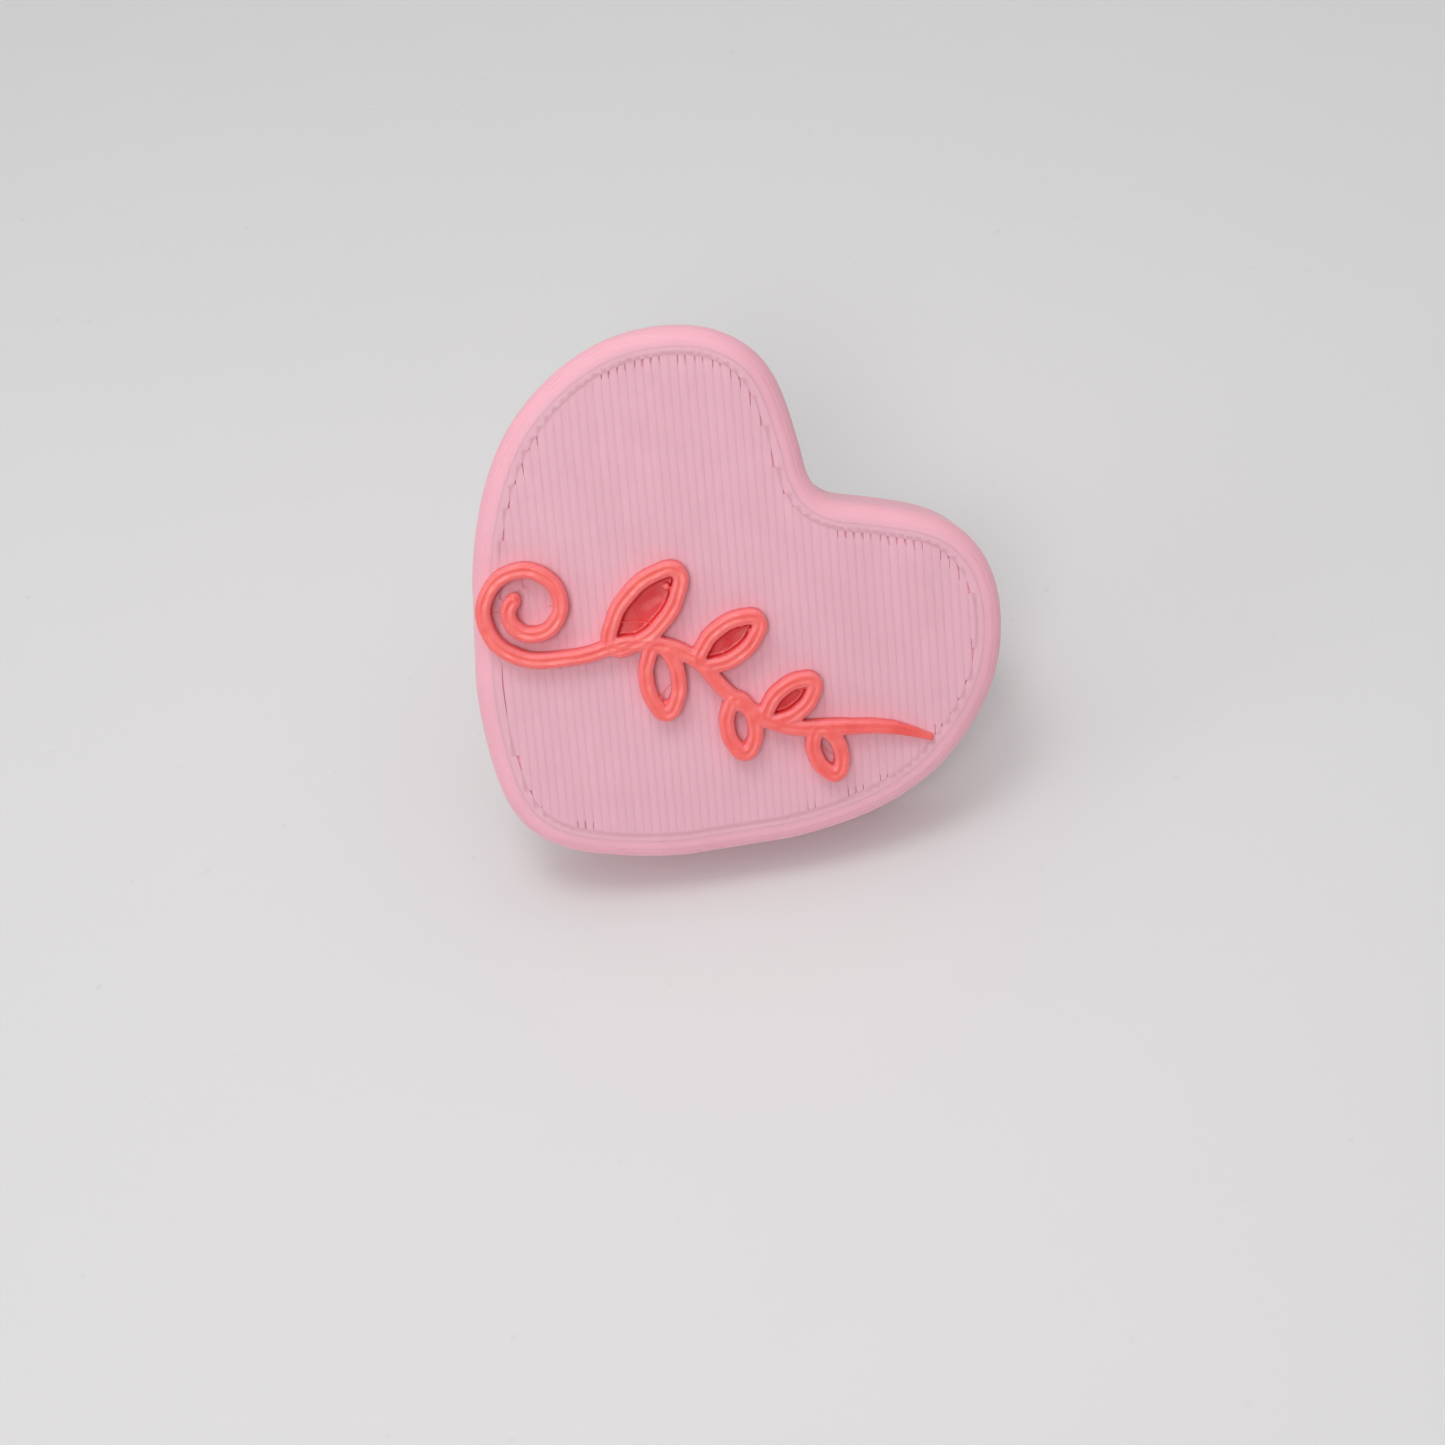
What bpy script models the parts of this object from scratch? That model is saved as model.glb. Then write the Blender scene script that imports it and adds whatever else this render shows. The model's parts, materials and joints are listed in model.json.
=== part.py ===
"""Heart pin badge: a printed heart with a raised scroll, a glued tack pin and a butterfly clutch.

Everything is modelled in the badge's own frame, lying on its back: +X across the heart, +Y from the tip
towards the cleft, +Z out of the face, with the back of the heart at Z = 0. One empty then stands the whole
badge up the way it rests on a table: on its flank and on the lower wing of the clutch.
"""

import math

import bmesh
import bpy
import numpy as np
from mathutils import Matrix, Vector

MM = 0.001

# Heart. Each knot is (x, y, heading in degrees) on the right half of the outline, from the cleft to the tip.
HEART_KNOTS = (
    (0.0, 8.25, 0.0),
    (2.47, 9.5, 32.0),
    (6.95, 11.4, 0.0),
    (12.21, 8.13, -54.5),
    (13.9, 2.2, -90.0),
    (10.4, -6.35, -126.7),
    (4.35, -12.55, -143.5),
    (0.0, -14.45, -180.0),
)
HEART_STEPS = 8
HEART_THICKNESS = 5.0 * MM
FACE_EDGE_RADIUS = 1.0 * MM
PIN_CENTRE = Vector((0.0, -0.25, 0.0)) * MM
# Each flank is cut straight by this much where it is nearest to the pin, which gives the badge a 5 mm foot.
FLANK_FLAT = 0.1 * MM

# Flourish, in its own frame: s along the line it follows, t across it.
FLOURISH_START = Vector((-9.3, -7.0, 0.0)) * MM
FLOURISH_SLOPE = math.radians(22.0)
LINE_WIDTH = 0.8 * MM
LINE_HEIGHT = 0.9 * MM
# How far the rounded top of the line comes down its sides, as a share of its half width.
LINE_ROUNDING = 0.7
LINE_TOP_ANGLES = (45, 90, 135)
SPIRAL_CENTRE = (2.35, 0.75)
SPIRAL_RADII = (0.85, 2.45)
SPIRAL_TURNS = 1.3
SPIRAL_KNOTS = 11
WAVE_KNOTS = (
    (5.2, -0.9),
    (7.9, 0.75),
    (10.6, 1.0),
    (13.4, -0.35),
    (16.2, -0.95),
    (19.0, -0.15),
    (21.4, 0.6),
    (23.7, 0.75),
)
TAIL_SCALES = (0.85, 0.42)
# Each leaf stands this much higher than the one before, so that no two lines share a plane where they join.
LEAF_RISE = 0.03 * MM
STEM_STEPS = 5
LEAF_STEPS = 3
# One side of a leaf, from its stalk, as shares of its length and width.
LEAF_SIDE = ((0.2, 0.37), (0.5, 0.5), (0.82, 0.36))
# Each leaf is (s, t, heading in degrees, length, width) from its stalk end.
LEAVES = (
    (6.9, 0.2, 68.0, 5.0, 2.2),
    (9.0, 1.0, -64.0, 3.5, 1.6),
    (11.3, 0.8, 55.0, 3.6, 1.7),
    (13.6, -0.4, -62.0, 2.8, 1.4),
    (15.4, -0.9, 58.0, 3.0, 1.45),
    (18.0, -0.55, -50.0, 2.5, 1.3),
)

# Pin.
FILM_GAP = 0.04 * MM
GLUE_RADIUS = 5.3 * MM
GLUE_THICKNESS = 0.16 * MM
BASE_RADIUS = 5.0 * MM
BASE_THICKNESS = 0.5 * MM
BASE_RIM = 0.15 * MM
POST_RADIUS = 0.55 * MM
POST_HEAD_RADIUS = 1.25 * MM
POST_HEAD_HEIGHT = 0.35 * MM
# The riveted head narrows to this share of its radius over the upper part of its height.
POST_HEAD_CROWN = 0.75
POST_HEAD_SIDE = 0.5
POST_TIP = 8.3 * MM
POST_POINT = 1.5 * MM
POST_POINT_RADIUS = 0.2 * MM
GROOVE_DEPTH = 0.1 * MM
GROOVE_MOUTH = 0.6 * MM
GROOVE_FLOOR = 0.3 * MM
GROOVE_PLACES = (5.05 * MM, 6.75 * MM)

# Clutch, measured from the front face of its plate, away from the heart.
CLUTCH_FRONT = 3.3 * MM
PLATE_RADIUS = 5.7 * MM
PLATE_THICKNESS = 0.4 * MM
PLATE_HOLE_RADIUS = 0.85 * MM
CUP_RADIUS = 3.3 * MM
CUP_HEIGHT = 2.5 * MM
CUP_LIP = 0.55 * MM
CUP_BEND = 0.24 * MM
PLATE_EDGE = 0.16 * MM
PLATE_HOLE_EASE = 0.2 * MM
WING_THICKNESS = 0.36 * MM
WING_COLUMNS = 7
WING_HINGE = Vector((1.75, 2.5)) * MM
# From the jaw, through the hinge, to the tip: (distance from the post, height, half width) in millimetres.
WING_PATH = (
    (0.85, 1.45, 0.85),
    (1.2, 1.55, 0.85),
    (1.6, 2.05, 0.93),
    (1.68, 2.45, 1.05),
    (1.8, 2.9, 1.4),
    (2.05, 3.27, 1.95),
    (2.45, 3.62, 2.4),
    (2.95, 3.99, 2.72),
    (3.5, 4.32, 2.86),
    (4.05, 4.6, 2.9),
    (4.6, 4.86, 2.86),
    (5.1, 5.08, 2.7),
    (5.4, 5.21, 2.46),
    (5.58, 5.29, 2.1),
)
SPRING_RADIUS = 2.2 * MM
SPRING_WIRE_RADIUS = 0.16 * MM
SPRING_DEPTH = 1.7 * MM
SPRING_STEPS = 20
SPRING_SPLIT = math.radians(40.0)

TURN_STEPS = 40
POST_STEPS = 20

# What counts as on the back of the heart, as the toe that it stands on, and as behind the heart.
BACK_TOLERANCE = 0.01 * MM
TOE_TOLERANCE = 0.02 * MM
BEHIND = 1.0 * MM


def clear_scene():
    for obj in list(bpy.data.objects):
        bpy.data.objects.remove(obj, do_unlink=True)


def new_collection(name):
    collection = bpy.data.collections.new(name)
    bpy.context.scene.collection.children.link(collection)
    return collection


def material(name, colour, roughness, metallic=0.0):
    made = bpy.data.materials.new(name)
    made.use_nodes = True
    shader = made.node_tree.nodes["Principled BSDF"]
    shader.inputs["Base Color"].default_value = (*colour, 1.0)
    shader.inputs["Roughness"].default_value = roughness
    shader.inputs["Metallic"].default_value = metallic
    made.diffuse_color = (*colour, 1.0)
    return made


def add_object(name, data, collection, finish=None, parent=None):
    obj = bpy.data.objects.new(name, data)
    collection.objects.link(obj)
    obj.parent = parent
    if finish:
        data.materials.clear()
        data.materials.append(finish)
    return obj


def mesh_from(name, build):
    """A mesh made by build(bm), with its normals pointing out."""
    bm = bmesh.new()
    build(bm)
    bmesh.ops.recalc_face_normals(bm, faces=bm.faces)
    mesh = bpy.data.meshes.new(name)
    bm.to_mesh(mesh)
    bm.free()
    return mesh


def smooth(obj, angle=35.0):
    obj.data.shade_smooth()
    obj.data.set_sharp_from_angle(angle=math.radians(angle))


def helper(obj):
    obj.hide_render = True
    obj.display_type = "WIRE"
    return obj


def turned(name, profile, collection, finish, parent, steps=TURN_STEPS):
    """A solid turned about +Z from a closed profile of (radius, height), listed down its outer side."""
    mesh = bpy.data.meshes.new(name)
    points = [(radius, 0.0, height) for radius, height in profile]
    closed = profile[0][0] > 0 or profile[-1][0] > 0
    edges = [(i, i + 1) for i in range(len(points) - 1)]
    if closed:
        edges.append((len(points) - 1, 0))
    mesh.from_pydata(points, edges, [])
    obj = add_object(name, mesh, collection, finish, parent)
    screw = obj.modifiers.new("Turn", "SCREW")
    screw.steps = steps
    screw.render_steps = steps
    screw.use_merge_vertices = True
    screw.merge_threshold = 0.00001
    return obj


def mesh_of_curve(curve, collection):
    """Replaces a curve object by a mesh object with welded caps."""
    bpy.context.view_layer.update()
    graph = bpy.context.evaluated_depsgraph_get()
    mesh = bpy.data.meshes.new_from_object(curve.evaluated_get(graph))
    bm = bmesh.new()
    bm.from_mesh(mesh)
    bmesh.ops.remove_doubles(bm, verts=bm.verts, dist=1e-6)
    bmesh.ops.recalc_face_normals(bm, faces=bm.faces)
    bm.to_mesh(mesh)
    bm.free()
    name = curve.name
    matrix = curve.matrix_world.copy()
    bpy.data.objects.remove(curve, do_unlink=True)
    obj = add_object(name, mesh, collection)
    obj.matrix_world = matrix
    return obj


# ---- Heart ----------------------------------------------------------------------------------------------


def arc_between(start, end, steps):
    """Points from one knot up to the next, on the cubic that is nearest to a circular arc."""
    x0, y0, heading0 = start
    x1, y1, heading1 = end
    chord = math.hypot(x1 - x0, y1 - y0)
    turn = abs(math.radians(heading1 - heading0))
    handle = 4 / 3 * math.tan(turn / 4) * chord / (2 * math.sin(turn / 2))
    first = Vector((x0, y0))
    last = Vector((x1, y1))
    leave = first + handle * Vector((math.cos(math.radians(heading0)), math.sin(math.radians(heading0))))
    arrive = last - handle * Vector((math.cos(math.radians(heading1)), math.sin(math.radians(heading1))))
    points = []
    for step in range(steps):
        t = step / steps
        weights = ((1 - t) ** 3, 3 * t * (1 - t) ** 2, 3 * t * t * (1 - t), t**3)
        points.append(sum((w * p for w, p in zip(weights, (first, leave, arrive, last))), Vector((0, 0))))
    return points


def smooth_half():
    """The right half of the outline in metres, from the cleft to the tip."""
    right = []
    for start, end in zip(HEART_KNOTS, HEART_KNOTS[1:]):
        right += arc_between(start, end, HEART_STEPS)
    right.append(Vector(HEART_KNOTS[-1][:2]))
    return [point * MM for point in right]


def flank_foot(points):
    """The vector from the pin to the nearest point of the right flank."""
    flank = [point for point in points if point.x > 2 * MM and point.y < 0]
    return min(flank, key=lambda point: (point - PIN_CENTRE.xy).length) - PIN_CENTRE.xy


def with_flat(right):
    """The right half of the outline with its flank cut straight where it is nearest to the pin."""
    foot = flank_foot(right)
    out = foot.normalized()
    cut = [right[0]]
    for last, point in zip(right, right[1:]):
        before, after = ((end - PIN_CENTRE.xy).dot(out) - foot.length + FLANK_FLAT for end in (last, point))
        if point.y < 0 and (before > 0) != (after > 0):
            cut.append(last.lerp(point, before / (before - after)))
        if point.y > 0 or after <= 0:
            cut.append(point)
    return cut


def heart_outline():
    """The whole outline in metres, from the cleft round the right lobe to the tip and back up the left."""
    right = with_flat(smooth_half())
    left = [Vector((-point.x, point.y)) for point in reversed(right[1:-1])]
    return right + left


def heart_body(collection, finish, parent):
    def build(bm):
        ring = [bm.verts.new((point.x, point.y, 0.0)) for point in heart_outline()]
        back = bm.faces.new(ring)
        front = bmesh.ops.extrude_face_region(bm, geom=[back])
        lifted = [item for item in front["geom"] if isinstance(item, bmesh.types.BMVert)]
        bmesh.ops.translate(bm, vec=(0, 0, HEART_THICKNESS), verts=lifted)

    mesh = mesh_from("heart_body", build)
    obj = add_object("heart_body", mesh, collection, finish, parent)
    weights = mesh.attributes.new("face_edge", "FLOAT", "EDGE")
    for edge in mesh.edges:
        heights = [mesh.vertices[index].co.z for index in edge.vertices]
        weights.data[edge.index].value = float(min(heights) > HEART_THICKNESS / 2)
    rounding = obj.modifiers.new("Face rounding", "BEVEL")
    rounding.limit_method = "WEIGHT"
    rounding.edge_weight = "face_edge"
    rounding.width = FACE_EDGE_RADIUS
    rounding.segments = 6
    smooth(obj)
    return obj


# ---- Flourish -------------------------------------------------------------------------------------------


def line_profile(collection):
    """The section of the raised line: a flat foot, upright sides and a rounded top."""
    half = LINE_WIDTH / 2
    shoulder = LINE_HEIGHT - half * LINE_ROUNDING
    points = [(half, 0.0), (half, shoulder)]
    for degrees in LINE_TOP_ANGLES:
        angle = math.radians(degrees)
        points.append((half * math.cos(angle), shoulder + (LINE_HEIGHT - shoulder) * math.sin(angle)))
    points += [(-half, shoulder), (-half, 0.0)]
    curve = bpy.data.curves.new("line_profile", "CURVE")
    curve.dimensions = "2D"
    curve.fill_mode = "NONE"
    spline = curve.splines.new("POLY")
    spline.points.add(len(points) - 1)
    for target, (x, y) in zip(spline.points, points):
        target.co = (x, y, 0.0, 1.0)
    spline.use_cyclic_u = True
    return helper(add_object("line_profile", curve, collection))


def raised_line(name, knots, profile, collection, steps, cyclic=False, end_scales=()):
    """A line of the flourish through its knots, swept with the raised section, as a closed mesh."""
    scales = [1.0] * (len(knots) - len(end_scales)) + list(end_scales)
    curve = bpy.data.curves.new(name, "CURVE")
    curve.dimensions = "2D"
    curve.fill_mode = "NONE"
    curve.bevel_mode = "OBJECT"
    curve.bevel_object = profile
    curve.use_fill_caps = not cyclic
    curve.resolution_u = steps
    spline = curve.splines.new("BEZIER")
    spline.bezier_points.add(len(knots) - 1)
    for target, knot, scale in zip(spline.bezier_points, knots, scales):
        target.co = (knot[0] * MM, knot[1] * MM, 0.0)
        target.handle_left_type = "AUTO"
        target.handle_right_type = "AUTO"
        target.radius = scale
    spline.use_cyclic_u = cyclic
    return mesh_of_curve(add_object(name, curve, collection), collection)


def stem_knots():
    """The spiral's knots, wound outwards, and then those of the wave and the tail."""
    knots = []
    for index in range(SPIRAL_KNOTS):
        part = index / (SPIRAL_KNOTS - 1)
        angle = math.radians(-90 - 360 * SPIRAL_TURNS * (1 - part))
        radius = SPIRAL_RADII[0] + (SPIRAL_RADII[1] - SPIRAL_RADII[0]) * part
        x = SPIRAL_CENTRE[0] + radius * math.cos(angle)
        y = SPIRAL_CENTRE[1] + radius * math.sin(angle)
        knots.append((x, y))
    return knots + list(WAVE_KNOTS)


def leaf_knots(s, t, heading, length, width):
    """A closed leaf, widest at its middle and narrow at both ends."""
    along = Vector((math.cos(math.radians(heading)), math.sin(math.radians(heading))))
    across = Vector((-along.y, along.x))
    stalk = Vector((s, t))
    shape = [(0.0, 0.0), *LEAF_SIDE, (1.0, 0.0)]
    shape += [(ahead, -aside) for ahead, aside in reversed(LEAF_SIDE)]
    return [stalk + along * length * ahead + across * width * aside for ahead, aside in shape]


def flourish(collection, helpers, finish, parent):
    profile = line_profile(helpers)
    obj = raised_line("flourish", stem_knots(), profile, collection, STEM_STEPS, end_scales=TAIL_SCALES)
    for index, leaf in enumerate(LEAVES):
        knots = leaf_knots(*leaf)
        piece = helper(raised_line(f"leaf_{index}", knots, profile, helpers, LEAF_STEPS, cyclic=True))
        union = obj.modifiers.new(piece.name, "BOOLEAN")
        union.operation = "UNION"
        union.object = piece
        union.use_self = True
    placing = Matrix.Translation(FLOURISH_START + Vector((0, 0, HEART_THICKNESS + FILM_GAP)))
    placing = placing @ Matrix.Rotation(FLOURISH_SLOPE, 4, "Z")
    leaves = [item for item in helpers.objects if item.name.startswith("leaf_")]
    for index, piece in enumerate([obj] + leaves):
        piece.parent = parent
        piece.matrix_local = placing @ Matrix.Translation((0, 0, index * LEAF_RISE))
    obj.data.materials.append(finish)
    smooth(obj)
    return obj


# ---- Pin ------------------------------------------------------------------------------------------------


def on_pin_axis(obj, depth):
    """Places a turned piece on the pin's axis, turned over so that its height runs away from the heart."""
    obj.matrix_local = pin_frame(depth)
    return obj


def pin_frame(depth):
    return Matrix.Translation(PIN_CENTRE - Vector((0, 0, depth))) @ Matrix.Rotation(math.pi, 4, "X")


def glue_pad(collection, finish, parent):
    edge = GLUE_THICKNESS * 0.5
    profile = (
        (0.0, GLUE_THICKNESS),
        (GLUE_RADIUS - edge, GLUE_THICKNESS),
        (GLUE_RADIUS, edge),
        (GLUE_RADIUS - edge, 0.0),
        (0.0, 0.0),
    )
    return on_pin_axis(turned("glue_pad", profile, collection, finish, parent), FILM_GAP)


def pin_base(collection, finish, parent):
    hole = POST_RADIUS + FILM_GAP
    profile = (
        (hole, BASE_THICKNESS),
        (BASE_RADIUS - BASE_RIM, BASE_THICKNESS),
        (BASE_RADIUS, BASE_THICKNESS - BASE_RIM),
        (BASE_RADIUS, BASE_RIM),
        (BASE_RADIUS - BASE_RIM, 0.0),
        (hole, 0.0),
    )
    return on_pin_axis(turned("pin_base", profile, collection, finish, parent), GLUE_THICKNESS + 2 * FILM_GAP)


def pin_post(collection, finish, parent):
    foot = GLUE_THICKNESS + 2 * FILM_GAP
    collar = foot + BASE_THICKNESS + FILM_GAP
    waist = POST_RADIUS - GROOVE_DEPTH
    profile = [(0.0, POST_TIP), (POST_POINT_RADIUS, POST_TIP), (POST_RADIUS, POST_TIP - POST_POINT)]
    for place in sorted(GROOVE_PLACES, reverse=True):
        profile += [
            (POST_RADIUS, place + GROOVE_MOUTH / 2),
            (waist, place + GROOVE_FLOOR / 2),
            (waist, place - GROOVE_FLOOR / 2),
            (POST_RADIUS, place - GROOVE_MOUTH / 2),
        ]
    profile += [
        (POST_RADIUS, collar + POST_HEAD_HEIGHT),
        (POST_HEAD_RADIUS * POST_HEAD_CROWN, collar + POST_HEAD_HEIGHT),
        (POST_HEAD_RADIUS, collar + POST_HEAD_HEIGHT * POST_HEAD_SIDE),
        (POST_HEAD_RADIUS, collar),
        (POST_RADIUS, collar),
        (POST_RADIUS, foot),
        (0.0, foot),
    ]
    return on_pin_axis(turned("pin_post", profile, collection, finish, parent, POST_STEPS), 0.0)


# ---- Clutch ---------------------------------------------------------------------------------------------


def clutch_plate(collection, finish, parent):
    wall = PLATE_THICKNESS
    inner = CUP_RADIUS - wall
    profile = (
        (CUP_RADIUS - CUP_LIP - wall, CUP_HEIGHT),
        (CUP_RADIUS - CUP_BEND, CUP_HEIGHT),
        (CUP_RADIUS, CUP_HEIGHT - CUP_BEND),
        (CUP_RADIUS, wall + CUP_BEND),
        (CUP_RADIUS + CUP_BEND, wall),
        (PLATE_RADIUS - PLATE_EDGE, wall),
        (PLATE_RADIUS, wall - PLATE_EDGE),
        (PLATE_RADIUS, PLATE_EDGE),
        (PLATE_RADIUS - PLATE_EDGE, 0.0),
        (PLATE_HOLE_RADIUS + PLATE_HOLE_EASE, 0.0),
        (PLATE_HOLE_RADIUS, PLATE_HOLE_EASE),
        (PLATE_HOLE_RADIUS, wall),
        (inner, wall),
        (inner, CUP_HEIGHT - wall),
        (CUP_RADIUS - CUP_LIP - wall, CUP_HEIGHT - wall),
    )
    return on_pin_axis(turned("clutch_plate", profile, collection, finish, parent), CLUTCH_FRONT)


def clutch_spring(collection, finish, parent):
    """A split ring round both jaws, inside the cup."""
    curve = bpy.data.curves.new("clutch_spring", "CURVE")
    curve.dimensions = "3D"
    curve.bevel_depth = SPRING_WIRE_RADIUS
    curve.bevel_resolution = 2
    curve.use_fill_caps = True
    spline = curve.splines.new("POLY")
    spline.points.add(SPRING_STEPS)
    for index, target in enumerate(spline.points):
        angle = SPRING_SPLIT / 2 + (2 * math.pi - SPRING_SPLIT) * index / SPRING_STEPS
        target.co = (SPRING_RADIUS * math.cos(angle), SPRING_RADIUS * math.sin(angle), 0.0, 1.0)
    obj = add_object("clutch_spring", curve, collection, finish, parent)
    return on_pin_axis(obj, CLUTCH_FRONT + SPRING_DEPTH)


def wing(name, angle, collection, finish, parent):
    """One wing in its hinge's frame: local X runs out from the post at the angle, local Z from the heart."""

    def build(bm):
        rows = []
        for out, height, half in WING_PATH:
            place = Vector((out, height)) * MM - WING_HINGE
            row = []
            for column in range(WING_COLUMNS):
                aside = half * MM * (2 * column / (WING_COLUMNS - 1) - 1)
                row.append(bm.verts.new((place.x, aside, place.y)))
            rows.append(row)
        for lower, upper in zip(rows, rows[1:]):
            for column in range(WING_COLUMNS - 1):
                bm.faces.new((lower[column], lower[column + 1], upper[column + 1], upper[column]))

    obj = add_object(name, mesh_from(name, build), collection, finish, parent)
    skin = obj.modifiers.new("Sheet", "SOLIDIFY")
    skin.thickness = WING_THICKNESS
    skin.offset = 0.0
    skin.use_even_offset = True
    smooth(obj)
    outwards = Matrix.Rotation(angle, 4, "Z") @ Matrix.Translation((WING_HINGE.x, 0.0, WING_HINGE.y))
    obj.matrix_local = pin_frame(CLUTCH_FRONT) @ outwards
    return obj


# ---- Standing the badge up --------------------------------------------------------------------------------


def flank_direction():
    """The angle, seen from the face, from the pin to the flattened part of the right flank."""
    foot = flank_foot(smooth_half())
    return math.atan2(foot.y, foot.x)


def evaluated_points(collection, frame):
    """Every vertex of the collection's objects, in the given frame."""
    bpy.context.view_layer.update()
    graph = bpy.context.evaluated_depsgraph_get()
    found = []
    for obj in collection.objects:
        if obj.type == "EMPTY":
            continue
        shape = obj.evaluated_get(graph)
        mesh = shape.to_mesh()
        matrix = np.array(frame @ shape.matrix_world)
        points = np.array([vertex.co for vertex in mesh.vertices])
        found.append(points @ matrix[:3, :3].T + matrix[:3, 3])
        shape.to_mesh_clear()
    return np.vstack(found)


def stand_up(lean, flank_angle, collection):
    """Leans the badge on its flank and the lower wing, with its box centred over the origin."""
    turn = Matrix.Rotation(-math.pi / 2 - flank_angle, 4, "Z")
    lean.matrix_world = turn
    points = evaluated_points(collection, Matrix.Identity(4))
    foot = points[(points[:, 2] > -BACK_TOLERANCE) & (points[:, 2] < HEART_THICKNESS / 2)]
    toe = foot[foot[:, 1] < foot[:, 1].min() + TOE_TOLERANCE]
    toe = toe[toe[:, 2].argmin()]
    behind = points[points[:, 2] < -BEHIND]
    angle = np.arctan2(toe[2] - behind[:, 2], behind[:, 1] - toe[1]).max()
    lean.matrix_world = Matrix.Rotation(angle, 4, "X") @ turn
    points = evaluated_points(collection, Matrix.Identity(4))
    low = points.min(axis=0)
    high = points.max(axis=0)
    shift = Vector((-(low[0] + high[0]) / 2, -(low[1] + high[1]) / 2, -low[2]))
    lean.matrix_world = Matrix.Translation(shift) @ lean.matrix_world


def main():
    clear_scene()
    badge = new_collection("heart_pin_badge")
    helpers = new_collection("helpers")

    pink = material("pink_print", (0.76, 0.41, 0.47), 0.55)
    coral = material("coral_print", (1.0, 0.15, 0.13), 0.45)
    glue = material("clear_glue", (0.86, 0.84, 0.78), 0.2)
    nickel = material("nickel_plate", (0.76, 0.75, 0.73), 0.28, 1.0)
    brass = material("brass_sheet", (0.83, 0.66, 0.36), 0.3, 1.0)
    wire = material("spring_wire", (0.6, 0.6, 0.6), 0.35, 1.0)

    lean = add_object("lean", None, badge)
    heart_body(badge, pink, lean)
    flourish(badge, helpers, coral, lean)
    glue_pad(badge, glue, lean)
    pin_base(badge, nickel, lean)
    pin_post(badge, nickel, lean)
    clutch_plate(badge, brass, lean)
    clutch_spring(badge, wire, lean)
    # The pin's frame is turned over about X, which reverses angles about its axis.
    flank_angle = flank_direction()
    wing("wing_lower", -flank_angle, badge, brass, lean)
    wing("wing_upper", math.pi - flank_angle, badge, brass, lean)
    stand_up(lean, flank_angle, badge)


main()
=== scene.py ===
"""Heart pin badge: a printed heart with a raised sprig, a glued tack pin and a butterfly clutch."""

import json
import math
import random

import bmesh
import bpy
import numpy as np
from bpy.props import FloatProperty, FloatVectorProperty, IntProperty, PointerProperty
from bpy.types import Operator, Panel, PropertyGroup
from mathutils import Matrix, Vector


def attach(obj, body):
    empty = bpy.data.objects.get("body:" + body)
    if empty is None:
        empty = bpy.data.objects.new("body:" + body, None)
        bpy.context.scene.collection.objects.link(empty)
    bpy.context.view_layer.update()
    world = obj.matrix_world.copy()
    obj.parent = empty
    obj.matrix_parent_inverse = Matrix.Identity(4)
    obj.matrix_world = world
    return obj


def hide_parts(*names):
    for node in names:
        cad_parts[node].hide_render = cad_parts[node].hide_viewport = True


bl_info = {
    "name": "Heart Pin Badge",
    "version": (1, 0, 0),
    "blender": (4, 5, 0),
    "location": "View3D > Sidebar > Heart Badge",
    "description": "Builds a printed heart badge with a raised sprig, a tack pin and a butterfly clutch",
    "category": "Add Mesh",
}

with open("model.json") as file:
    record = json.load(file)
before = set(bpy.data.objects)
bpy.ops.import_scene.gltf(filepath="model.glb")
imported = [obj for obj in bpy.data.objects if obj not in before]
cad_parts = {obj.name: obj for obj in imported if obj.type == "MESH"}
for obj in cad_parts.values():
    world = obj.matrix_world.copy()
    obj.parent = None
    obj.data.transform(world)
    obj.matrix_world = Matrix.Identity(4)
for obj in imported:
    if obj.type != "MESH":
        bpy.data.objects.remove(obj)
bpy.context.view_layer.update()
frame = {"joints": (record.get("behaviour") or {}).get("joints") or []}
JOINTS = {joint["name"]: joint for joint in frame["joints"]}

MM = 0.001

# Heart, in millimetres: (x, y, heading in degrees) on the right half, from the cleft to the tip.
HEART_KNOTS = (
    (0.0, 8.25, 0.0),
    (2.47, 9.5, 32.0),
    (6.95, 11.4, 0.0),
    (12.21, 8.13, -54.5),
    (13.9, 2.2, -90.0),
    (10.4, -6.35, -126.7),
    (4.35, -12.55, -143.5),
    (0.0, -14.45, -180.0),
)
HEART_STEPS = 30
SOLID_STEPS = 8
OUTLINE_POINTS = 460
TIP_HALF_WIDTH = 2
THICKNESS = 5.0
EDGE_RADIUS = 1.0
CHAMFER = 0.06
PIN_Y = -0.25
FLANK_FLAT = 0.1

# Printed wall. Tones run from 0 to 1 and pick a shade of the plastic; the layers' tones are random, and the
# grooves between them get painted shade.
LAYER_SAMPLES = 6
GROOVE_SHARPNESS = 0.6
LAYER_TONE = 0.5
GROOVE_PAINTED_SHADE = 0.35
WALL_SEED = 11

# Printed face and back, in millimetres: a ring that follows the outline, and straight lines inside it.
FACE_INSET = 1.0
FACE_FLOOR = 4.86
FLOOR_TONE = 0.6
FLOOR_SLOPE = 0.01
WALL_DROP = 0.004
LAP = 0.02
RING_WIDTH = 0.41
RING_LAP = 0.03
RING_GAP = 0.012
RING_CROWN = 0.006
RING_TONE = 0.3
FACE_ANGLE = math.radians(135)
FACE_CROWN = 0.005
FACE_SEED = 3
LINE_DROP = 0.001
BACK_FLOOR = 0.05
BACK_HEIGHT = 0.07
BACK_CROWN = -0.008
BACK_ANGLE = math.radians(45)
BACK_RING_INSET = 0.03
BACK_RING_PITCH = 0.42
BACK_RING_WIDTH = 0.415
BACK_RING_TONES = (0.4, 0.6)
BACK_LINES_INSET = 0.87
# Half a ring's section: (share of its width, share of the crown's height that it lies below the top).
RING_SIDE = ((0.0, 1.6), (0.16, 0.45), (0.5, 0.0))
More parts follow.
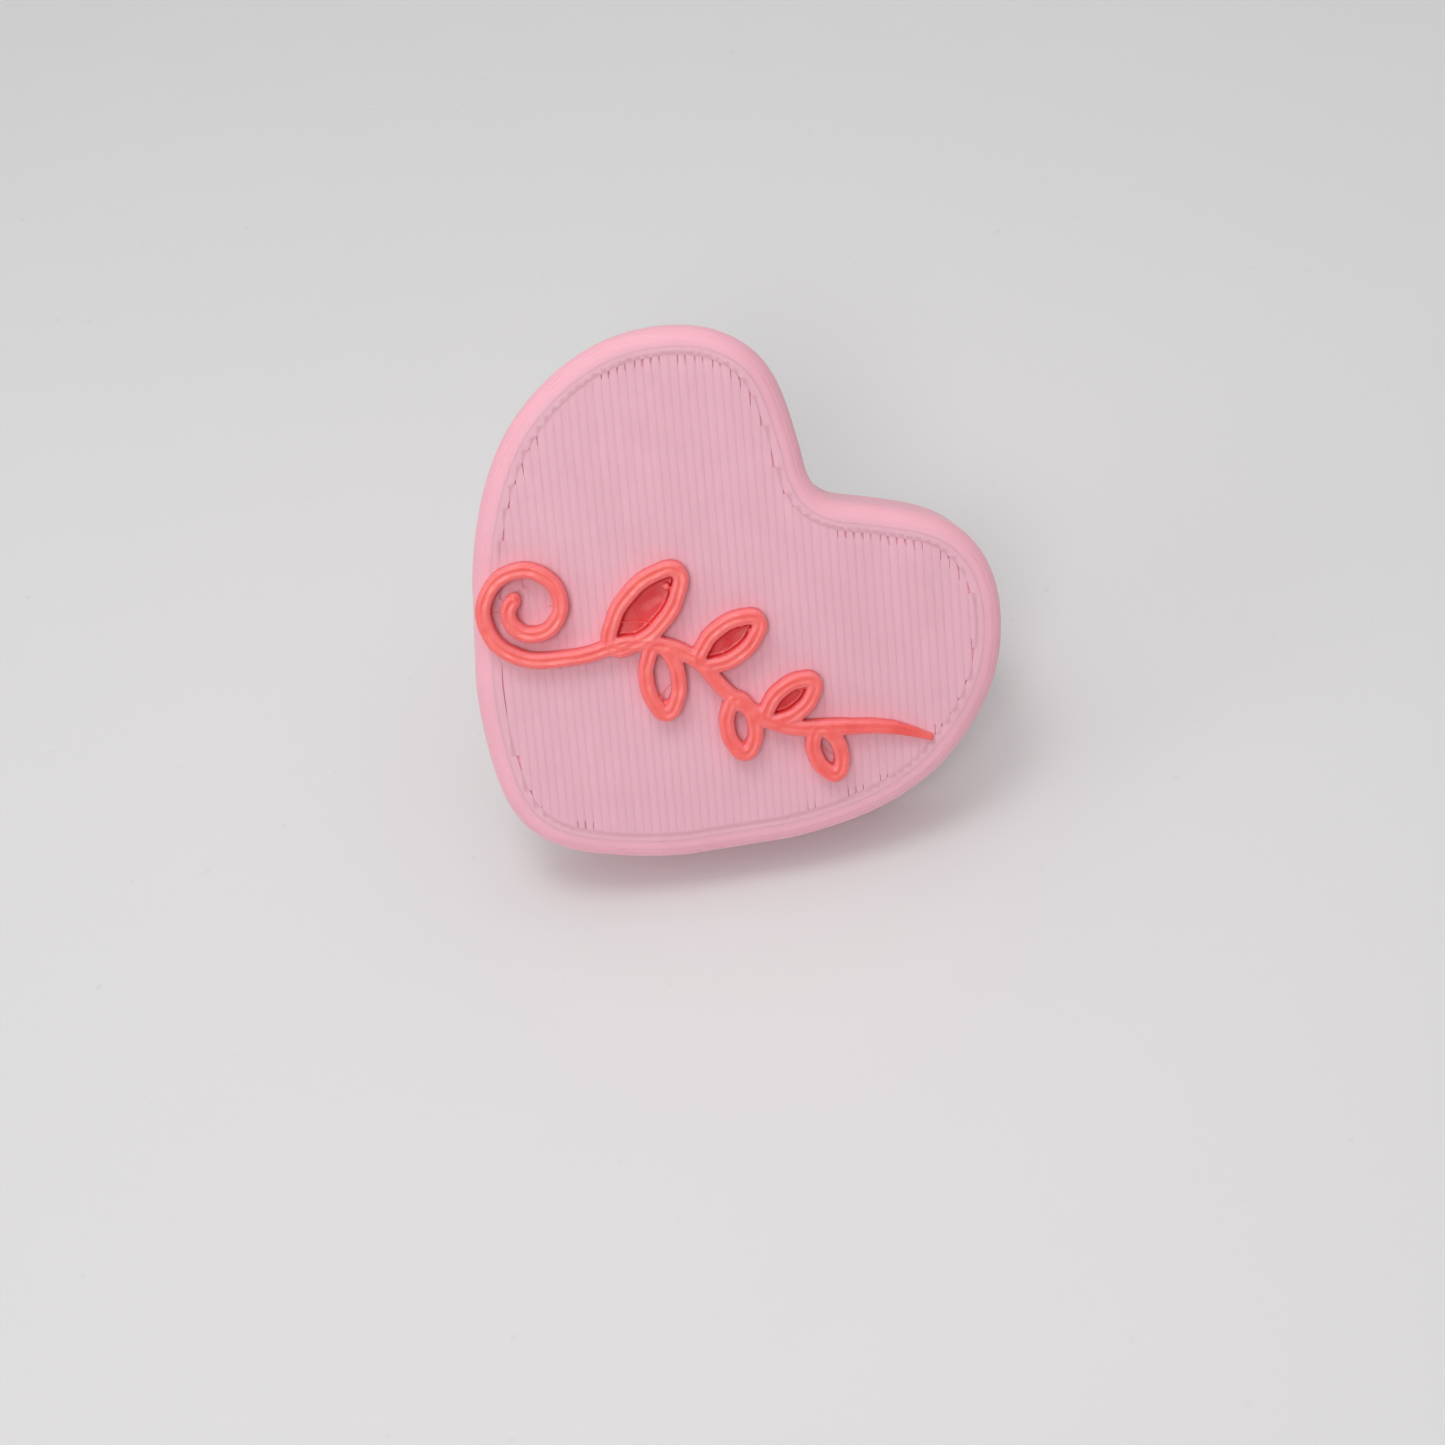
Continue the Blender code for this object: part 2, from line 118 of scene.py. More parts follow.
# A straight line's half width as a share of the pitch, and its shoulder as shares of half width and crown.
LINE_HALF_WIDTH = 0.515
LINE_SHOULDER = (0.55, 0.3)
SHORTEST_LINE = 1.5
SINK_SCATTER = 0.25
PINCH_SINK = 3
# Where line ends are pinched, which leaves slits: (x from, x to, y from, y to, share of the lines).
PINCHED_ZONES = (
    (-12.0, -3.0, 4.0, 12.0, 0.5),
    (2.0, 12.5, 3.0, 12.0, 0.55),
    (-14.0, -9.0, -4.0, 4.0, 0.2),
    (8.0, 14.0, -5.0, 3.0, 0.3),
    (-6.0, 3.0, -14.0, -9.5, 0.35),
)
# How far a line runs under the ring, and a pinched end's length and width, each as (least, most added).
OVERRUN = 0.2
PINCH_LENGTH = (0.16, 0.24)
PINCH_WIDTH = (0.66, 0.14)
PINCH_RAMP = 0.08

# Sprig, in millimetres, in a frame that starts at the scroll and runs up to the right across the heart.
SPRIG_START = (-9.3, -7.0)
SPRIG_SLOPE = math.radians(22.0)
SCROLL_CENTRE = (2.35, 0.75)
SCROLL_RADII = (0.85, 2.45)
SCROLL_TURNS = 1.3
SCROLL_KNOTS = 11
WAVE_KNOTS = (
    (5.2, -0.9),
    (7.9, 0.75),
    (10.6, 1.0),
    (13.4, -0.35),
    (16.2, -0.95),
    (19.0, -0.15),
    (21.4, 0.6),
    (23.7, 0.75),
)
TAIL_SCALES = (0.85, 0.42)
# Each leaf is (s, t, heading in degrees, length, width) from its stalk end.
LEAVES = (
    (6.9, 0.2, 68.0, 5.0, 2.2),
    (9.0, 1.0, -64.0, 3.5, 1.6),
    (11.3, 0.8, 55.0, 3.6, 1.7),
    (13.6, -0.4, -62.0, 2.8, 1.4),
    (15.4, -0.9, 58.0, 3.0, 1.45),
    (18.0, -0.55, -50.0, 2.5, 1.3),
)
FILLED_LEAVES = (0, 2, 4)
# One side of a leaf, from its stalk, as shares of its length and width.
LEAF_SIDE = ((0.2, 0.37), (0.5, 0.5), (0.82, 0.36))
LEAF_SKIN = 0.13
STEM_STEPS = 14
LEAF_STEPS = 9
# Half of the strand's section: (share of the half width, distance below the top), under a foot in the face.
STRAND_FOOT = -0.06
STRAND_SIDE = ((1.0, 0.28), (0.93, 0.1), (0.68, 0.01), (0.42, 0.0), (0.0, 0.025))
STRAND_GROOVE = 0.018
GROOVE_POWER = 6
RIPPLE_DEPTH = 0.006
VOXEL = 0.05
WELD = 0.001
BLOB_SEED = 5
BLOBS_PER_LEAF = 2
SCROLL_BLOB_HEIGHT = 0.62
SCROLL_BLOB_RADIUS = 0.36
BATCH = 20000

# Stray threads, in millimetres.
THREAD_SEED = 21
THREAD_SPOTS = 15
THREAD_SIDES = 6
# Tone 0.7 mixes part of the coral's painted highlight into the threads' colour.
THREAD_HIGHLIGHT_TONE = 0.7
LEAF_THREAD = (0.08, 0.016)
SCROLL_THREAD = (0.1, 0.014)
SCROLL_THREAD_ANGLES = (0.4, 2.1, 3.6)

# Pin, in millimetres. Each profile is (radius, distance from the heart).
GLUE_PROFILE = (
    (0.0, 0.19),
    (4.6, 0.19),
    (5.02, 0.36),
    (5.2, 0.34),
    (5.3, 0.2),
    (5.24, 0.05),
    (5.1, 0.0),
    (0.0, 0.0),
)
GLUE_DEPTH = 0.01
DISC_PROFILE = (
    (0.6, 0.5),
    (2.0, 0.5),
    (2.25, 0.44),
    (3.6, 0.44),
    (3.85, 0.5),
    (4.8, 0.5),
    (4.93, 0.46),
    (5.0, 0.36),
    (5.0, 0.14),
    (4.93, 0.04),
    (4.8, 0.0),
    (0.6, 0.0),
)
DISC_DEPTH = 0.24
POST_RADIUS = 0.55
POST_POINT = ((0.0, 8.3), (0.1, 8.27), (0.2, 8.12), (0.42, 7.35), (0.52, 6.98), (POST_RADIUS, 6.8))
GROOVE_PLACES = (6.71, 5.01)
GROOVE_DEPTH = 0.1
GROOVE_HALF_LENGTH = 0.28
POST_COLLAR = ((POST_RADIUS, 1.3), (0.62, 1.18), (0.95, 1.13), (1.16, 1.05))
POST_HEAD = (*POST_COLLAR, (1.25, 0.9), (1.22, 0.8), (1.1, 0.78))
POST_FOOT = ((POST_RADIUS, 0.78), (POST_RADIUS, 0.26), (0.0, 0.24))
PIN_STEPS = 128
POST_STEPS = 64

# Clutch, in millimetres from the front of its plate, which is this far behind the heart's back.
CLUTCH_FRONT = 3.3
HINGE_HEIGHT = 2.5
CUP_OUTSIDE = (
    (2.35, 2.5),
    (2.95, 2.5),
    (3.12, 2.46),
    (3.25, 2.36),
    (3.3, 2.2),
    (3.3, 0.68),
    (3.34, 0.52),
    (3.48, 0.42),
    (5.2, 0.4),
    (5.45, 0.44),
    (5.62, 0.42),
    (5.69, 0.32),
    (5.7, 0.2),
    (5.66, 0.08),
    (5.54, 0.0),
)
CUP_INSIDE = (
    (1.1, 0.0),
    (0.95, 0.05),
    (0.86, 0.16),
    (0.85, 0.4),
    (2.7, 0.4),
    (2.86, 0.46),
    (2.9, 0.6),
    (2.9, 1.9),
    (2.84, 2.04),
    (2.7, 2.1),
    (2.4, 2.1),
    (2.32, 2.18),
    (2.3, 2.3),
    (2.31, 2.42),
)
CUP_STEPS = 144
PIP_COUNT = 4
PIP_PLACE = 4.45
PIP_RADIUS = 0.36
PIP_FOOT = 0.39
PIP_HEIGHT = 0.17
PIP_STEPS = 20
JAW_RING_RADIUS = 2.2
JAW_RING_WIRE = 0.16
JAW_RING_DEPTH = 1.7
JAW_RING_SPLIT = math.radians(40)
JAW_RING_STEPS = 90
WIRE_STEPS = 14

# Wing, from its jaw to its tip: (out from the post, away from the plate, half width), in millimetres.
WING_PATH = (
    (0.85, 1.45, 0.85),
    (1.2, 1.55, 0.85),
    (1.6, 2.05, 0.93),
    (1.68, 2.45, 1.05),
    (1.8, 2.9, 1.4),
    (2.05, 3.27, 1.95),
    (2.45, 3.62, 2.4),
    (2.95, 3.99, 2.72),
    (3.5, 4.32, 2.86),
    (4.05, 4.6, 2.88),
    (4.6, 4.86, 2.84),
    (5.1, 5.08, 2.66),
    (5.4, 5.21, 2.42),
    (5.53, 5.27, 2.08),
)
WING_SHEET = 0.34
WING_ROWS = 44
WING_COLUMNS = 25
WING_SOFTENING = (-0.03, 0, 0.03)
# The pressed rib: its height, and its middle and half length along the wing and half width across it.
RIB_HEIGHT = 0.16
RIB_MIDDLE = 0.72
RIB_LENGTH = 0.17
RIB_WIDTH = 0.22
# The wing's sides bend towards the heart by this much, from this share of its length on.
WING_CUPPING = 0.22
CUPPING_START = 0.45

# Fixed shades of the finishes.
CORAL_LIGHT = (1.0, 0.165, 0.145)
# A painted highlight for the top edges of the coral strands.
CORAL_PAINTED_HIGHLIGHT = (1.0, 0.23, 0.25)
# A painted shade for the low floors inside the filled leaves.
CORAL_PAINTED_SHADE = (0.78, 0.012, 0.02)
BRASS_RUBBED = (0.92, 0.78, 0.5)
GLUE_CLEAR = (0.95, 0.93, 0.88)
GLUE_CLOUDY = (0.82, 0.79, 0.7)
WIRE_DARK = (0.42, 0.41, 0.4)
WIRE_LIGHT = (0.62, 0.61, 0.6)

# Stage, in metres. Each light is (name, place, target, size, name of its power setting).
TABLE_HALF = 1.5
TABLE_CELLS = 24
SKY_COLOUR = (1.0, 0.995, 1.0, 1.0)
LIGHTS = (
    ("key_light", (-0.03, -0.01, 0.19), (0.0, 0.0, 0.01), 0.075, "key_power"),
    ("dome_light", (0.0, 0.1, 0.5), (0.0, 0.0, 0.0), 1.0, "dome_power"),
    ("front_light", (-0.12, -0.5, 0.45), (0.0, 0.0, 0.0), 0.3, "front_power"),
    ("side_light", (-0.28, -0.05, 0.18), (0.0, 0.0, 0.01), 0.15, "side_power"),
)
CAMERA_AZIMUTH = math.radians(-0.9)
CAMERA_ELEVATION = math.radians(47.66)
CAMERA_ROLL = math.radians(-9.82)
CAMERA_DISTANCE = 0.11233
CAMERA_TARGET = Vector((-0.00148, 0.00074, 0.0))
CAMERA_LENS = 49.83
CAMERA_SENSOR = 36.0
CAMERA_NEAR = 0.005


class HeartBadgeSettings(PropertyGroup):
    """Sizes and colours of the badge that a user may change."""

    layer_height: FloatProperty(
        name="Layer height",
        description="Height of one printed layer, in mm",
        default=0.161, min=0.05, max=0.4,
    )
    line_pitch: FloatProperty(
        name="Line pitch",
        description="Distance between two printed lines, in mm",
        default=0.42, min=0.2, max=0.8,
    )
    groove_depth: FloatProperty(
        name="Groove depth",
        description="Depth of the groove between two layers, in mm",
        default=0.022, min=0.0,
    )
    strand_width: FloatProperty(
        name="Line width",
        description="Width of the raised sprig's line, in mm",
        default=0.8, min=0.4, max=1.2,
    )
    strand_height: FloatProperty(
        name="Line height",
        description="Height of the raised sprig's line, in mm",
        default=0.9, min=0.2, max=1.5,
    )
    stray_threads: IntProperty(
        name="Stray threads", description="Number of loose threads of coral plastic", default=9, min=0, max=40
    )
    pink: FloatVectorProperty(
        name="Pink",
        description="Colour of the heart's plastic",
        subtype="COLOR", default=(0.945, 0.457, 0.552),
    )
    coral: FloatVectorProperty(
        name="Coral",
        description="Colour of the sprig's plastic",
        subtype="COLOR", default=(1.0, 0.125, 0.115),
    )
    nickel: FloatVectorProperty(
        name="Nickel",
        description="Colour of the pin's plating",
        subtype="COLOR", default=(0.74, 0.72, 0.69),
    )
    brass: FloatVectorProperty(
        name="Brass",
        description="Colour of the clutch's sheet",
        subtype="COLOR", default=(0.80, 0.60, 0.30),
    )
    table: FloatVectorProperty(
        name="Table",
        description="Colour of the table",
        subtype="COLOR", default=(0.74, 0.73, 0.735),
    )
    key_power: FloatProperty(
        name="Key light", description="Power of the near light", default=0.062, unit="POWER"
    )
    dome_power: FloatProperty(
        name="Dome light", description="Power of the ceiling light", default=1.75, unit="POWER"
    )
    front_power: FloatProperty(
        name="Front light", description="Power of the front light", default=1.45, unit="POWER"
    )
    side_power: FloatProperty(
        name="Side light", description="Power of the left light", default=0.09, unit="POWER"
    )
    sky: FloatProperty(name="Sky", description="Brightness of the room's light", default=0.22, min=0.0)


def settings():
    return bpy.context.scene.heart_badge


# ---- Frame of the badge ------------------------------------------------------------------------------------


def smooth_outline(steps):
    """The heart's outline in millimetres, from the cleft round the right lobe and back up the left."""
    right = []
    for (x0, y0, h0), (x1, y1, h1) in zip(HEART_KNOTS, HEART_KNOTS[1:]):
        turn = math.radians(abs(h1 - h0))
        handle = 4 / 3 * math.tan(turn / 4) * math.hypot(x1 - x0, y1 - y0) / (2 * math.sin(turn / 2))
        ends = np.array(((x0, y0), (x1, y1)))
        ways = np.array([(math.cos(math.radians(h)), math.sin(math.radians(h))) for h in (h0, h1)])
        corners = (ends[0], ends[0] + handle * ways[0], ends[1] - handle * ways[1], ends[1])
        for t in np.arange(steps) / steps:
            weights = ((1 - t) ** 3, 3 * t * (1 - t) ** 2, 3 * t * t * (1 - t), t**3)
            right.append(sum(w * corner for w, corner in zip(weights, corners)))
    right.append(np.array(HEART_KNOTS[-1][:2]))
    right = np.array(right)
    left = right[1:-1][::-1] * (-1, 1)
    return np.vstack((right, left))


def even(points, count):
    """The closed outline again with evenly spaced points."""
    closed = np.vstack((points, points[:1]))
    run = np.concatenate(([0.0], np.cumsum(np.linalg.norm(np.diff(closed, axis=0), axis=1))))
    places = np.linspace(0.0, run[-1], count, endpoint=False)
    return np.column_stack([np.interp(places, run, closed[:, axis]) for axis in (0, 1)])


def flank_foot():
    """The vector from the pin to the nearest point of the right flank, at the coarse steps of the solid."""
    coarse = smooth_outline(SOLID_STEPS)
    flank = coarse[(coarse[:, 0] > TIP_HALF_WIDTH) & (coarse[:, 1] < 0)] - (0.0, PIN_Y)
    return flank[np.linalg.norm(flank, axis=1).argmin()]


def rested_outline():
    """The outline with both flanks flattened a little where they are nearest to the pin."""
    points = even(smooth_outline(HEART_STEPS), OUTLINE_POINTS)
    foot = flank_foot()
    reach = np.linalg.norm(foot)
    for out in (foot / reach, foot / reach * (-1, 1)):
        excess = (points - (0.0, PIN_Y)) @ out - reach + FLANK_FLAT
        points -= np.outer(np.where((excess > 0) & (points[:, 1] < 0), excess, 0.0), out)
    return points


def outward_ways(points):
    """The direction out of the closed outline at each of its points."""
    along = np.roll(points, -1, axis=0) - np.roll(points, 1, axis=0)
    along /= np.linalg.norm(along, axis=1)[:, None]
    ways = np.column_stack((-along[:, 1], along[:, 0]))
    return ways if (ways * points).sum() > 0 else -ways


OUTLINE = rested_outline()
OUTWARD = outward_ways(OUTLINE)
FLANK = math.atan2(*flank_foot()[::-1])


def inset_outline(inset):
    return OUTLINE - OUTWARD * inset


def level(inset, height):
    """The outline, drawn in by the inset, as points at one height."""
    line = inset_outline(inset)
    return np.column_stack((line, np.full(len(line), height)))


def badge_matrix():
    """Carries the badge's own frame, in metres, to where the joints say that it leans."""
    away = Vector(JOINTS["clutch_pull"]["axis"]).normalized()
    face = -away
    across = Vector((1.0, 0.0, 0.0))
    up_slope = face.cross(across)
    x_axis = -math.sin(FLANK) * across - math.cos(FLANK) * up_slope
    y_axis = math.cos(FLANK) * across - math.sin(FLANK) * up_slope
    hinges = [Vector(JOINTS[name]["pos_m"]) for name in ("lower_wing_squeeze", "upper_wing_squeeze")]
    pin = (hinges[0] + hinges[1]) / 2 - away * (CLUTCH_FRONT + HINGE_HEIGHT) * MM
    matrix = Matrix((x_axis, y_axis, face)).transposed().to_4x4()
    matrix.translation = pin - y_axis * PIN_Y * MM
    return matrix


BADGE = badge_matrix()


def pin_matrix(depth):
    """A frame on the pin's axis whose Z runs away from the heart, the given depth behind its back."""
    place = Matrix.Translation((0.0, PIN_Y * MM, -depth * MM))
    return BADGE @ place @ Matrix.Rotation(math.pi, 4, "X")


# ---- Mesh tools --------------------------------------------------------------------------------------------


class Shape:
    """Vertices in millimetres, faces, and one tone for each vertex."""

    def __init__(self):
        self.points = []
        self.faces = []
        self.tones = []

    def add(self, points, tone=0.5):
        start = len(self.points)
        self.points.extend(map(tuple, points))
        tones = tone if np.ndim(tone) else [tone] * len(points)
        self.tones.extend(float(t) for t in tones)
        return start

    def bridge(self, first, second, count, closed=True):
        """Quads between two rows of vertices, each given by its first index."""
        for i in range(count if closed else count - 1):
            j = (i + 1) % count
            self.faces.append((first + i, first + j, second + j, second + i))

    def cap(self, first, count):
        self.faces.append(tuple(range(first, first + count)))

    def tube(self, rows, tone=0.5):
        """A closed solid through rows of equal length, each a closed loop."""
        starts = [self.add(row, tone) for row in rows]
        count = len(rows[0])
        for first, second in zip(starts, starts[1:]):
            self.bridge(first, second, count)
        self.cap(starts[0], count)
        self.cap(starts[-1], count)

    def ring(self, rows, tone=0.5):
        """A closed solid through rows that come back to the first one."""
        starts = [self.add(row, tone) for row in rows]
        for first, second in zip(starts, starts[1:] + starts[:1]):
            self.bridge(first, second, len(rows[0]))


def set_down(name, mesh, matrix):
    """A mesh object at the origin, its vertices carried by the matrix and their old places kept as "own"."""
    count = len(mesh.vertices)
    points = np.empty(count * 3)
    mesh.vertices.foreach_get("co", points)
    mesh.attributes.new("own", "FLOAT_VECTOR", "POINT").data.foreach_set("vector", points)
    mesh.transform(matrix)
    mesh.update()
    obj = bpy.data.objects.new(name, mesh)
    bpy.context.scene.collection.objects.link(obj)
    return obj


def make_object(name, shape, matrix, sharp=40.0):
    """A mesh object from a Shape, in metres, with outward normals and its tones stored on the points."""
    mesh = bpy.data.meshes.new(name)
    mesh.from_pydata([tuple(c * MM for c in point) for point in shape.points], [], shape.faces)
    tone = mesh.attributes.new("tone", "FLOAT", "POINT")
    tone.data.foreach_set("value", shape.tones)
    bm = bmesh.new()
    bm.from_mesh(mesh)
    bmesh.ops.recalc_face_normals(bm, faces=bm.faces)
    bm.to_mesh(mesh)
    bm.free()
    mesh.shade_smooth()
    mesh.set_sharp_from_angle(angle=math.radians(sharp))
    return set_down(name, mesh, matrix)


def dress(obj, material, body, slot, *nodes):
    """Gives a piece its material, and says what it rides on and stands for."""
    obj.data.materials.clear()
    obj.data.materials.append(material)
    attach(obj, body)
    if nodes:
        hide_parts(*nodes)
    return obj


def lathe(shape, profile, steps, tone=0.5, wobble=None):
    """Turns a closed profile of (radius, height) about Z. One that starts on the axis ends there too."""
    angles = np.arange(steps) * 2 * math.pi / steps
    rows = []
    for radius, height in profile:
        reach = radius if wobble is None else radius * wobble(angles)
        rows.append(np.column_stack((reach * np.cos(angles), reach * np.sin(angles), np.full(steps, height))))
    if profile[0][0] > 0:
        shape.ring(rows, tone)
    else:
        shape.tube(rows, tone)


# ---- Materials ---------------------------------------------------------------------------------------------


class Finish:
    """A node material under construction."""

    def __init__(self, name, roughness, **sockets):
        self.material = bpy.data.materials.new(name)
        self.material.use_nodes = True
        self.tree = self.material.node_tree
        self.shader = self.tree.nodes["Principled BSDF"]
        self.shader.inputs["Roughness"].default_value = roughness
        for socket, value in sockets.items():
            self.shader.inputs[socket.replace("_", " ")].default_value = value
        self.place = self.node("ShaderNodeAttribute", attribute_name="own").outputs["Vector"]

    def node(self, kind, **values):
        made = self.tree.nodes.new(kind)
        for name, value in values.items():
            setattr(made, name, value)
        return made

    def link(self, source, target):
        self.tree.links.new(source, target)

    def noise(self, scale_per_mm, detail=3.0, stretch=(1.0, 1.0, 1.0), rough=0.55):
        """Noise whose features measure about 1 / scale_per_mm millimetres."""
        mapping = self.node("ShaderNodeMapping")
        mapping.inputs["Scale"].default_value = stretch
        self.link(self.place, mapping.inputs["Vector"])
        texture = self.node("ShaderNodeTexNoise")
        texture.inputs["Scale"].default_value = scale_per_mm / MM
        texture.inputs["Detail"].default_value = detail
        texture.inputs["Roughness"].default_value = rough
        self.link(mapping.outputs["Vector"], texture.inputs["Vector"])
        return texture.outputs["Fac"]

    def spread(self, source, low, high, start=0.3, end=0.7):
        """Maps a value from start..end to low..high."""
        made = self.node("ShaderNodeMapRange")
        self.link(source, made.inputs["Value"])
        for name, value in (("From Min", start), ("From Max", end), ("To Min", low), ("To Max", high)):
            made.inputs[name].default_value = value
        return made.outputs["Result"]

    def attribute(self, name):
        return self.node("ShaderNodeAttribute", attribute_name=name).outputs["Fac"]

    def mix(self, factor, first, second):
        """A colour between two, each a colour or a socket."""
        made = self.node("ShaderNodeMix", data_type="RGBA")
        self.link(factor, made.inputs["Factor"])
        colours = [socket for socket in made.inputs if socket.type == "RGBA"]
        for socket, value in zip(colours, (first, second)):
            if isinstance(value, bpy.types.NodeSocket):
                self.link(value, socket)
            else:
                socket.default_value = (*value, 1.0)
        return next(socket for socket in made.outputs if socket.type == "RGBA")

    def colour(self, source):
        self.link(source, self.shader.inputs["Base Color"])

    def roughness(self, source):
        self.link(source, self.shader.inputs["Roughness"])

    def bump(self, *layers):
        """Bumps of (height, strength, distance in mm), one after another."""
        previous = None
        for height, strength, distance in layers:
            made = self.node("ShaderNodeBump")
            made.inputs["Strength"].default_value = strength
            made.inputs["Distance"].default_value = distance * MM
            self.link(height, made.inputs["Height"])
            if previous:
                self.link(previous, made.inputs["Normal"])
            previous = made.outputs["Normal"]
        self.link(previous, self.shader.inputs["Normal"])


def shade(colour, factor):
    return tuple(min(1.0, max(0.0, part * factor)) for part in colour)


def pink_print():
    finish = Finish("pink_print", 0.5, Subsurface_Weight=0.25, Subsurface_Scale=0.0009, Sheen_Weight=0.3)
    finish.shader.inputs["Sheen Roughness"].default_value = 0.45
    finish.shader.inputs["Subsurface Radius"].default_value = (1.0, 0.45, 0.4)
    pink = settings().pink
    mottled = finish.mix(finish.spread(finish.noise(0.35), 0.0, 1.0), shade(pink, 0.965), shade(pink, 1.03))
    # Tone darkens the pink: at random on layers and lines, and as painted shade in the wall's grooves.
    depth = finish.spread(finish.attribute("tone"), 0.0, 0.22, 0.0, 1.0)
    toned = finish.mix(depth, mottled, shade(pink, 0.9))
    finish.colour(toned)
    finish.roughness(finish.spread(finish.noise(2.5), 0.42, 0.6))
    grain = finish.noise(14.0, detail=4.0)
    pull = finish.noise(3.0, stretch=(1.0, 1.0, 0.25))
    finish.bump((pull, 0.25, 0.02), (grain, 0.3, 0.01))
    return finish.material


def coral_print():
    finish = Finish("coral_print", 0.36, Subsurface_Weight=0.35, Subsurface_Scale=0.0006, Coat_Weight=0.15)
    finish.shader.inputs["Subsurface Radius"].default_value = (1.0, 0.3, 0.22)
    finish.shader.inputs["Coat Roughness"].default_value = 0.2
    coral = settings().coral
    body = finish.mix(finish.spread(finish.noise(0.9), 0.0, 1.0), shade(coral, 0.93), CORAL_LIGHT)
    # Tone above 0.5 mixes in a painted highlight along the strands' top edges.
    edge = finish.mix(finish.spread(finish.attribute("tone"), 0.0, 1.0, 0.5, 1.0), body, CORAL_PAINTED_HIGHLIGHT)
    # Tone below 0.5 mixes in painted shade on the leaves' low floors, between the raised strands.
    painted_highlight_and_shade = finish.mix(finish.spread(finish.attribute("tone"), 1.0, 0.0, 0.0, 0.5), edge, CORAL_PAINTED_SHADE)
    finish.colour(painted_highlight_and_shade)
    finish.roughness(finish.spread(finish.noise(3.0), 0.26, 0.46))
    finish.bump((finish.noise(4.0), 0.35, 0.02), (finish.noise(16.0), 0.2, 0.006))
    return finish.material


def nickel_plate():
    finish = Finish("nickel_plate", 0.25, Metallic=1.0)
    nickel = settings().nickel
    worn = finish.mix(finish.spread(finish.noise(0.8), 0.0, 1.0), shade(nickel, 0.86), shade(nickel, 1.06))
    finish.colour(worn)
    finish.roughness(finish.spread(finish.noise(2.2), 0.16, 0.36))
    brushed = finish.noise(6.0, stretch=(1.0, 1.0, 6.0))
    finish.bump((finish.noise(0.9), 0.2, 0.03), (brushed, 0.25, 0.004))
    return finish.material


def brass_sheet():
    finish = Finish("brass_sheet", 0.3, Metallic=1.0)
    brass = settings().brass
    tarnish = finish.mix(finish.spread(finish.noise(0.6), 0.0, 1.0), shade(brass, 0.8), shade(brass, 1.08))
    rubbed = finish.mix(finish.spread(finish.attribute("tone"), 0.0, 0.6, 0.5, 1.0), tarnish, BRASS_RUBBED)
    finish.colour(rubbed)
    finish.roughness(finish.spread(finish.noise(1.8), 0.2, 0.42))
    finish.bump((finish.noise(1.0), 0.3, 0.04), (finish.noise(9.0), 0.3, 0.005))
    return finish.material


def clear_glue():
    finish = Finish("clear_glue", 0.12, Transmission_Weight=0.75, IOR=1.47)
    cloudy = finish.mix(finish.spread(finish.noise(1.2), 0.0, 1.0), GLUE_CLEAR, GLUE_CLOUDY)
    finish.colour(cloudy)
    finish.roughness(finish.spread(finish.noise(2.0), 0.06, 0.22))
    finish.bump((finish.noise(0.8), 0.5, 0.08))
    return finish.material


def spring_wire():
    finish = Finish("spring_wire", 0.3, Metallic=1.0)
    drawn = finish.mix(finish.spread(finish.noise(2.0), 0.0, 1.0), WIRE_DARK, WIRE_LIGHT)
    finish.colour(drawn)
    finish.roughness(finish.spread(finish.noise(3.0), 0.22, 0.4))
    finish.bump((finish.noise(7.0), 0.3, 0.006))
    return finish.material


def table_paint():
    finish = Finish("table_paint", 0.62)
    table = settings().table
    cloud = finish.spread(finish.noise(0.004), 0.0, 1.0)
    clouded = finish.mix(cloud, shade(table, 0.985), shade(table, 1.01))
    speck = finish.spread(finish.noise(0.9, detail=1.0), 0.0, 0.5, 0.75, 0.8)
    finish.colour(finish.mix(speck, clouded, shade(table, 0.9)))
    finish.roughness(finish.spread(finish.noise(0.2), 0.56, 0.68))
    finish.bump((finish.noise(4.0), 0.06, 0.02))
    return finish.material


# ---- Heart -------------------------------------------------------------------------------------------------


def wall_profile():
    """(inset, height, tone) up the wall and round the edge, with a groove at each layer darkened by painted
    shade.
    """
    values = settings()
    layers = round(THICKNESS / values.layer_height)
    step = THICKNESS / layers
    rows = [(CHAMFER, 0.0, LAYER_TONE)]
    random.seed(WALL_SEED)
    tones = [random.random() * LAYER_TONE for _ in range(layers + 1)]
    for index in range(1, layers * LAYER_SAMPLES):
        height = index * step / LAYER_SAMPLES
        phase = (index % LAYER_SAMPLES) / LAYER_SAMPLES
        swell = math.sin(math.pi * phase) ** GROOVE_SHARPNESS
        groove = values.groove_depth * (1 - swell)
        rise = height - (THICKNESS - EDGE_RADIUS)
        lean = math.asin(max(0.0, min(1.0, rise / EDGE_RADIUS)))
        inset = EDGE_RADIUS * (1 - math.cos(lean)) + max(0.0, CHAMFER - height)
        # Each layer's tone is random; the groove row adds painted shade.
        tone = tones[index // LAYER_SAMPLES] + (GROOVE_PAINTED_SHADE if phase == 0 else 0.0)
        rows.append((inset + groove * math.cos(lean), height - groove * math.sin(lean), tone))
    return rows


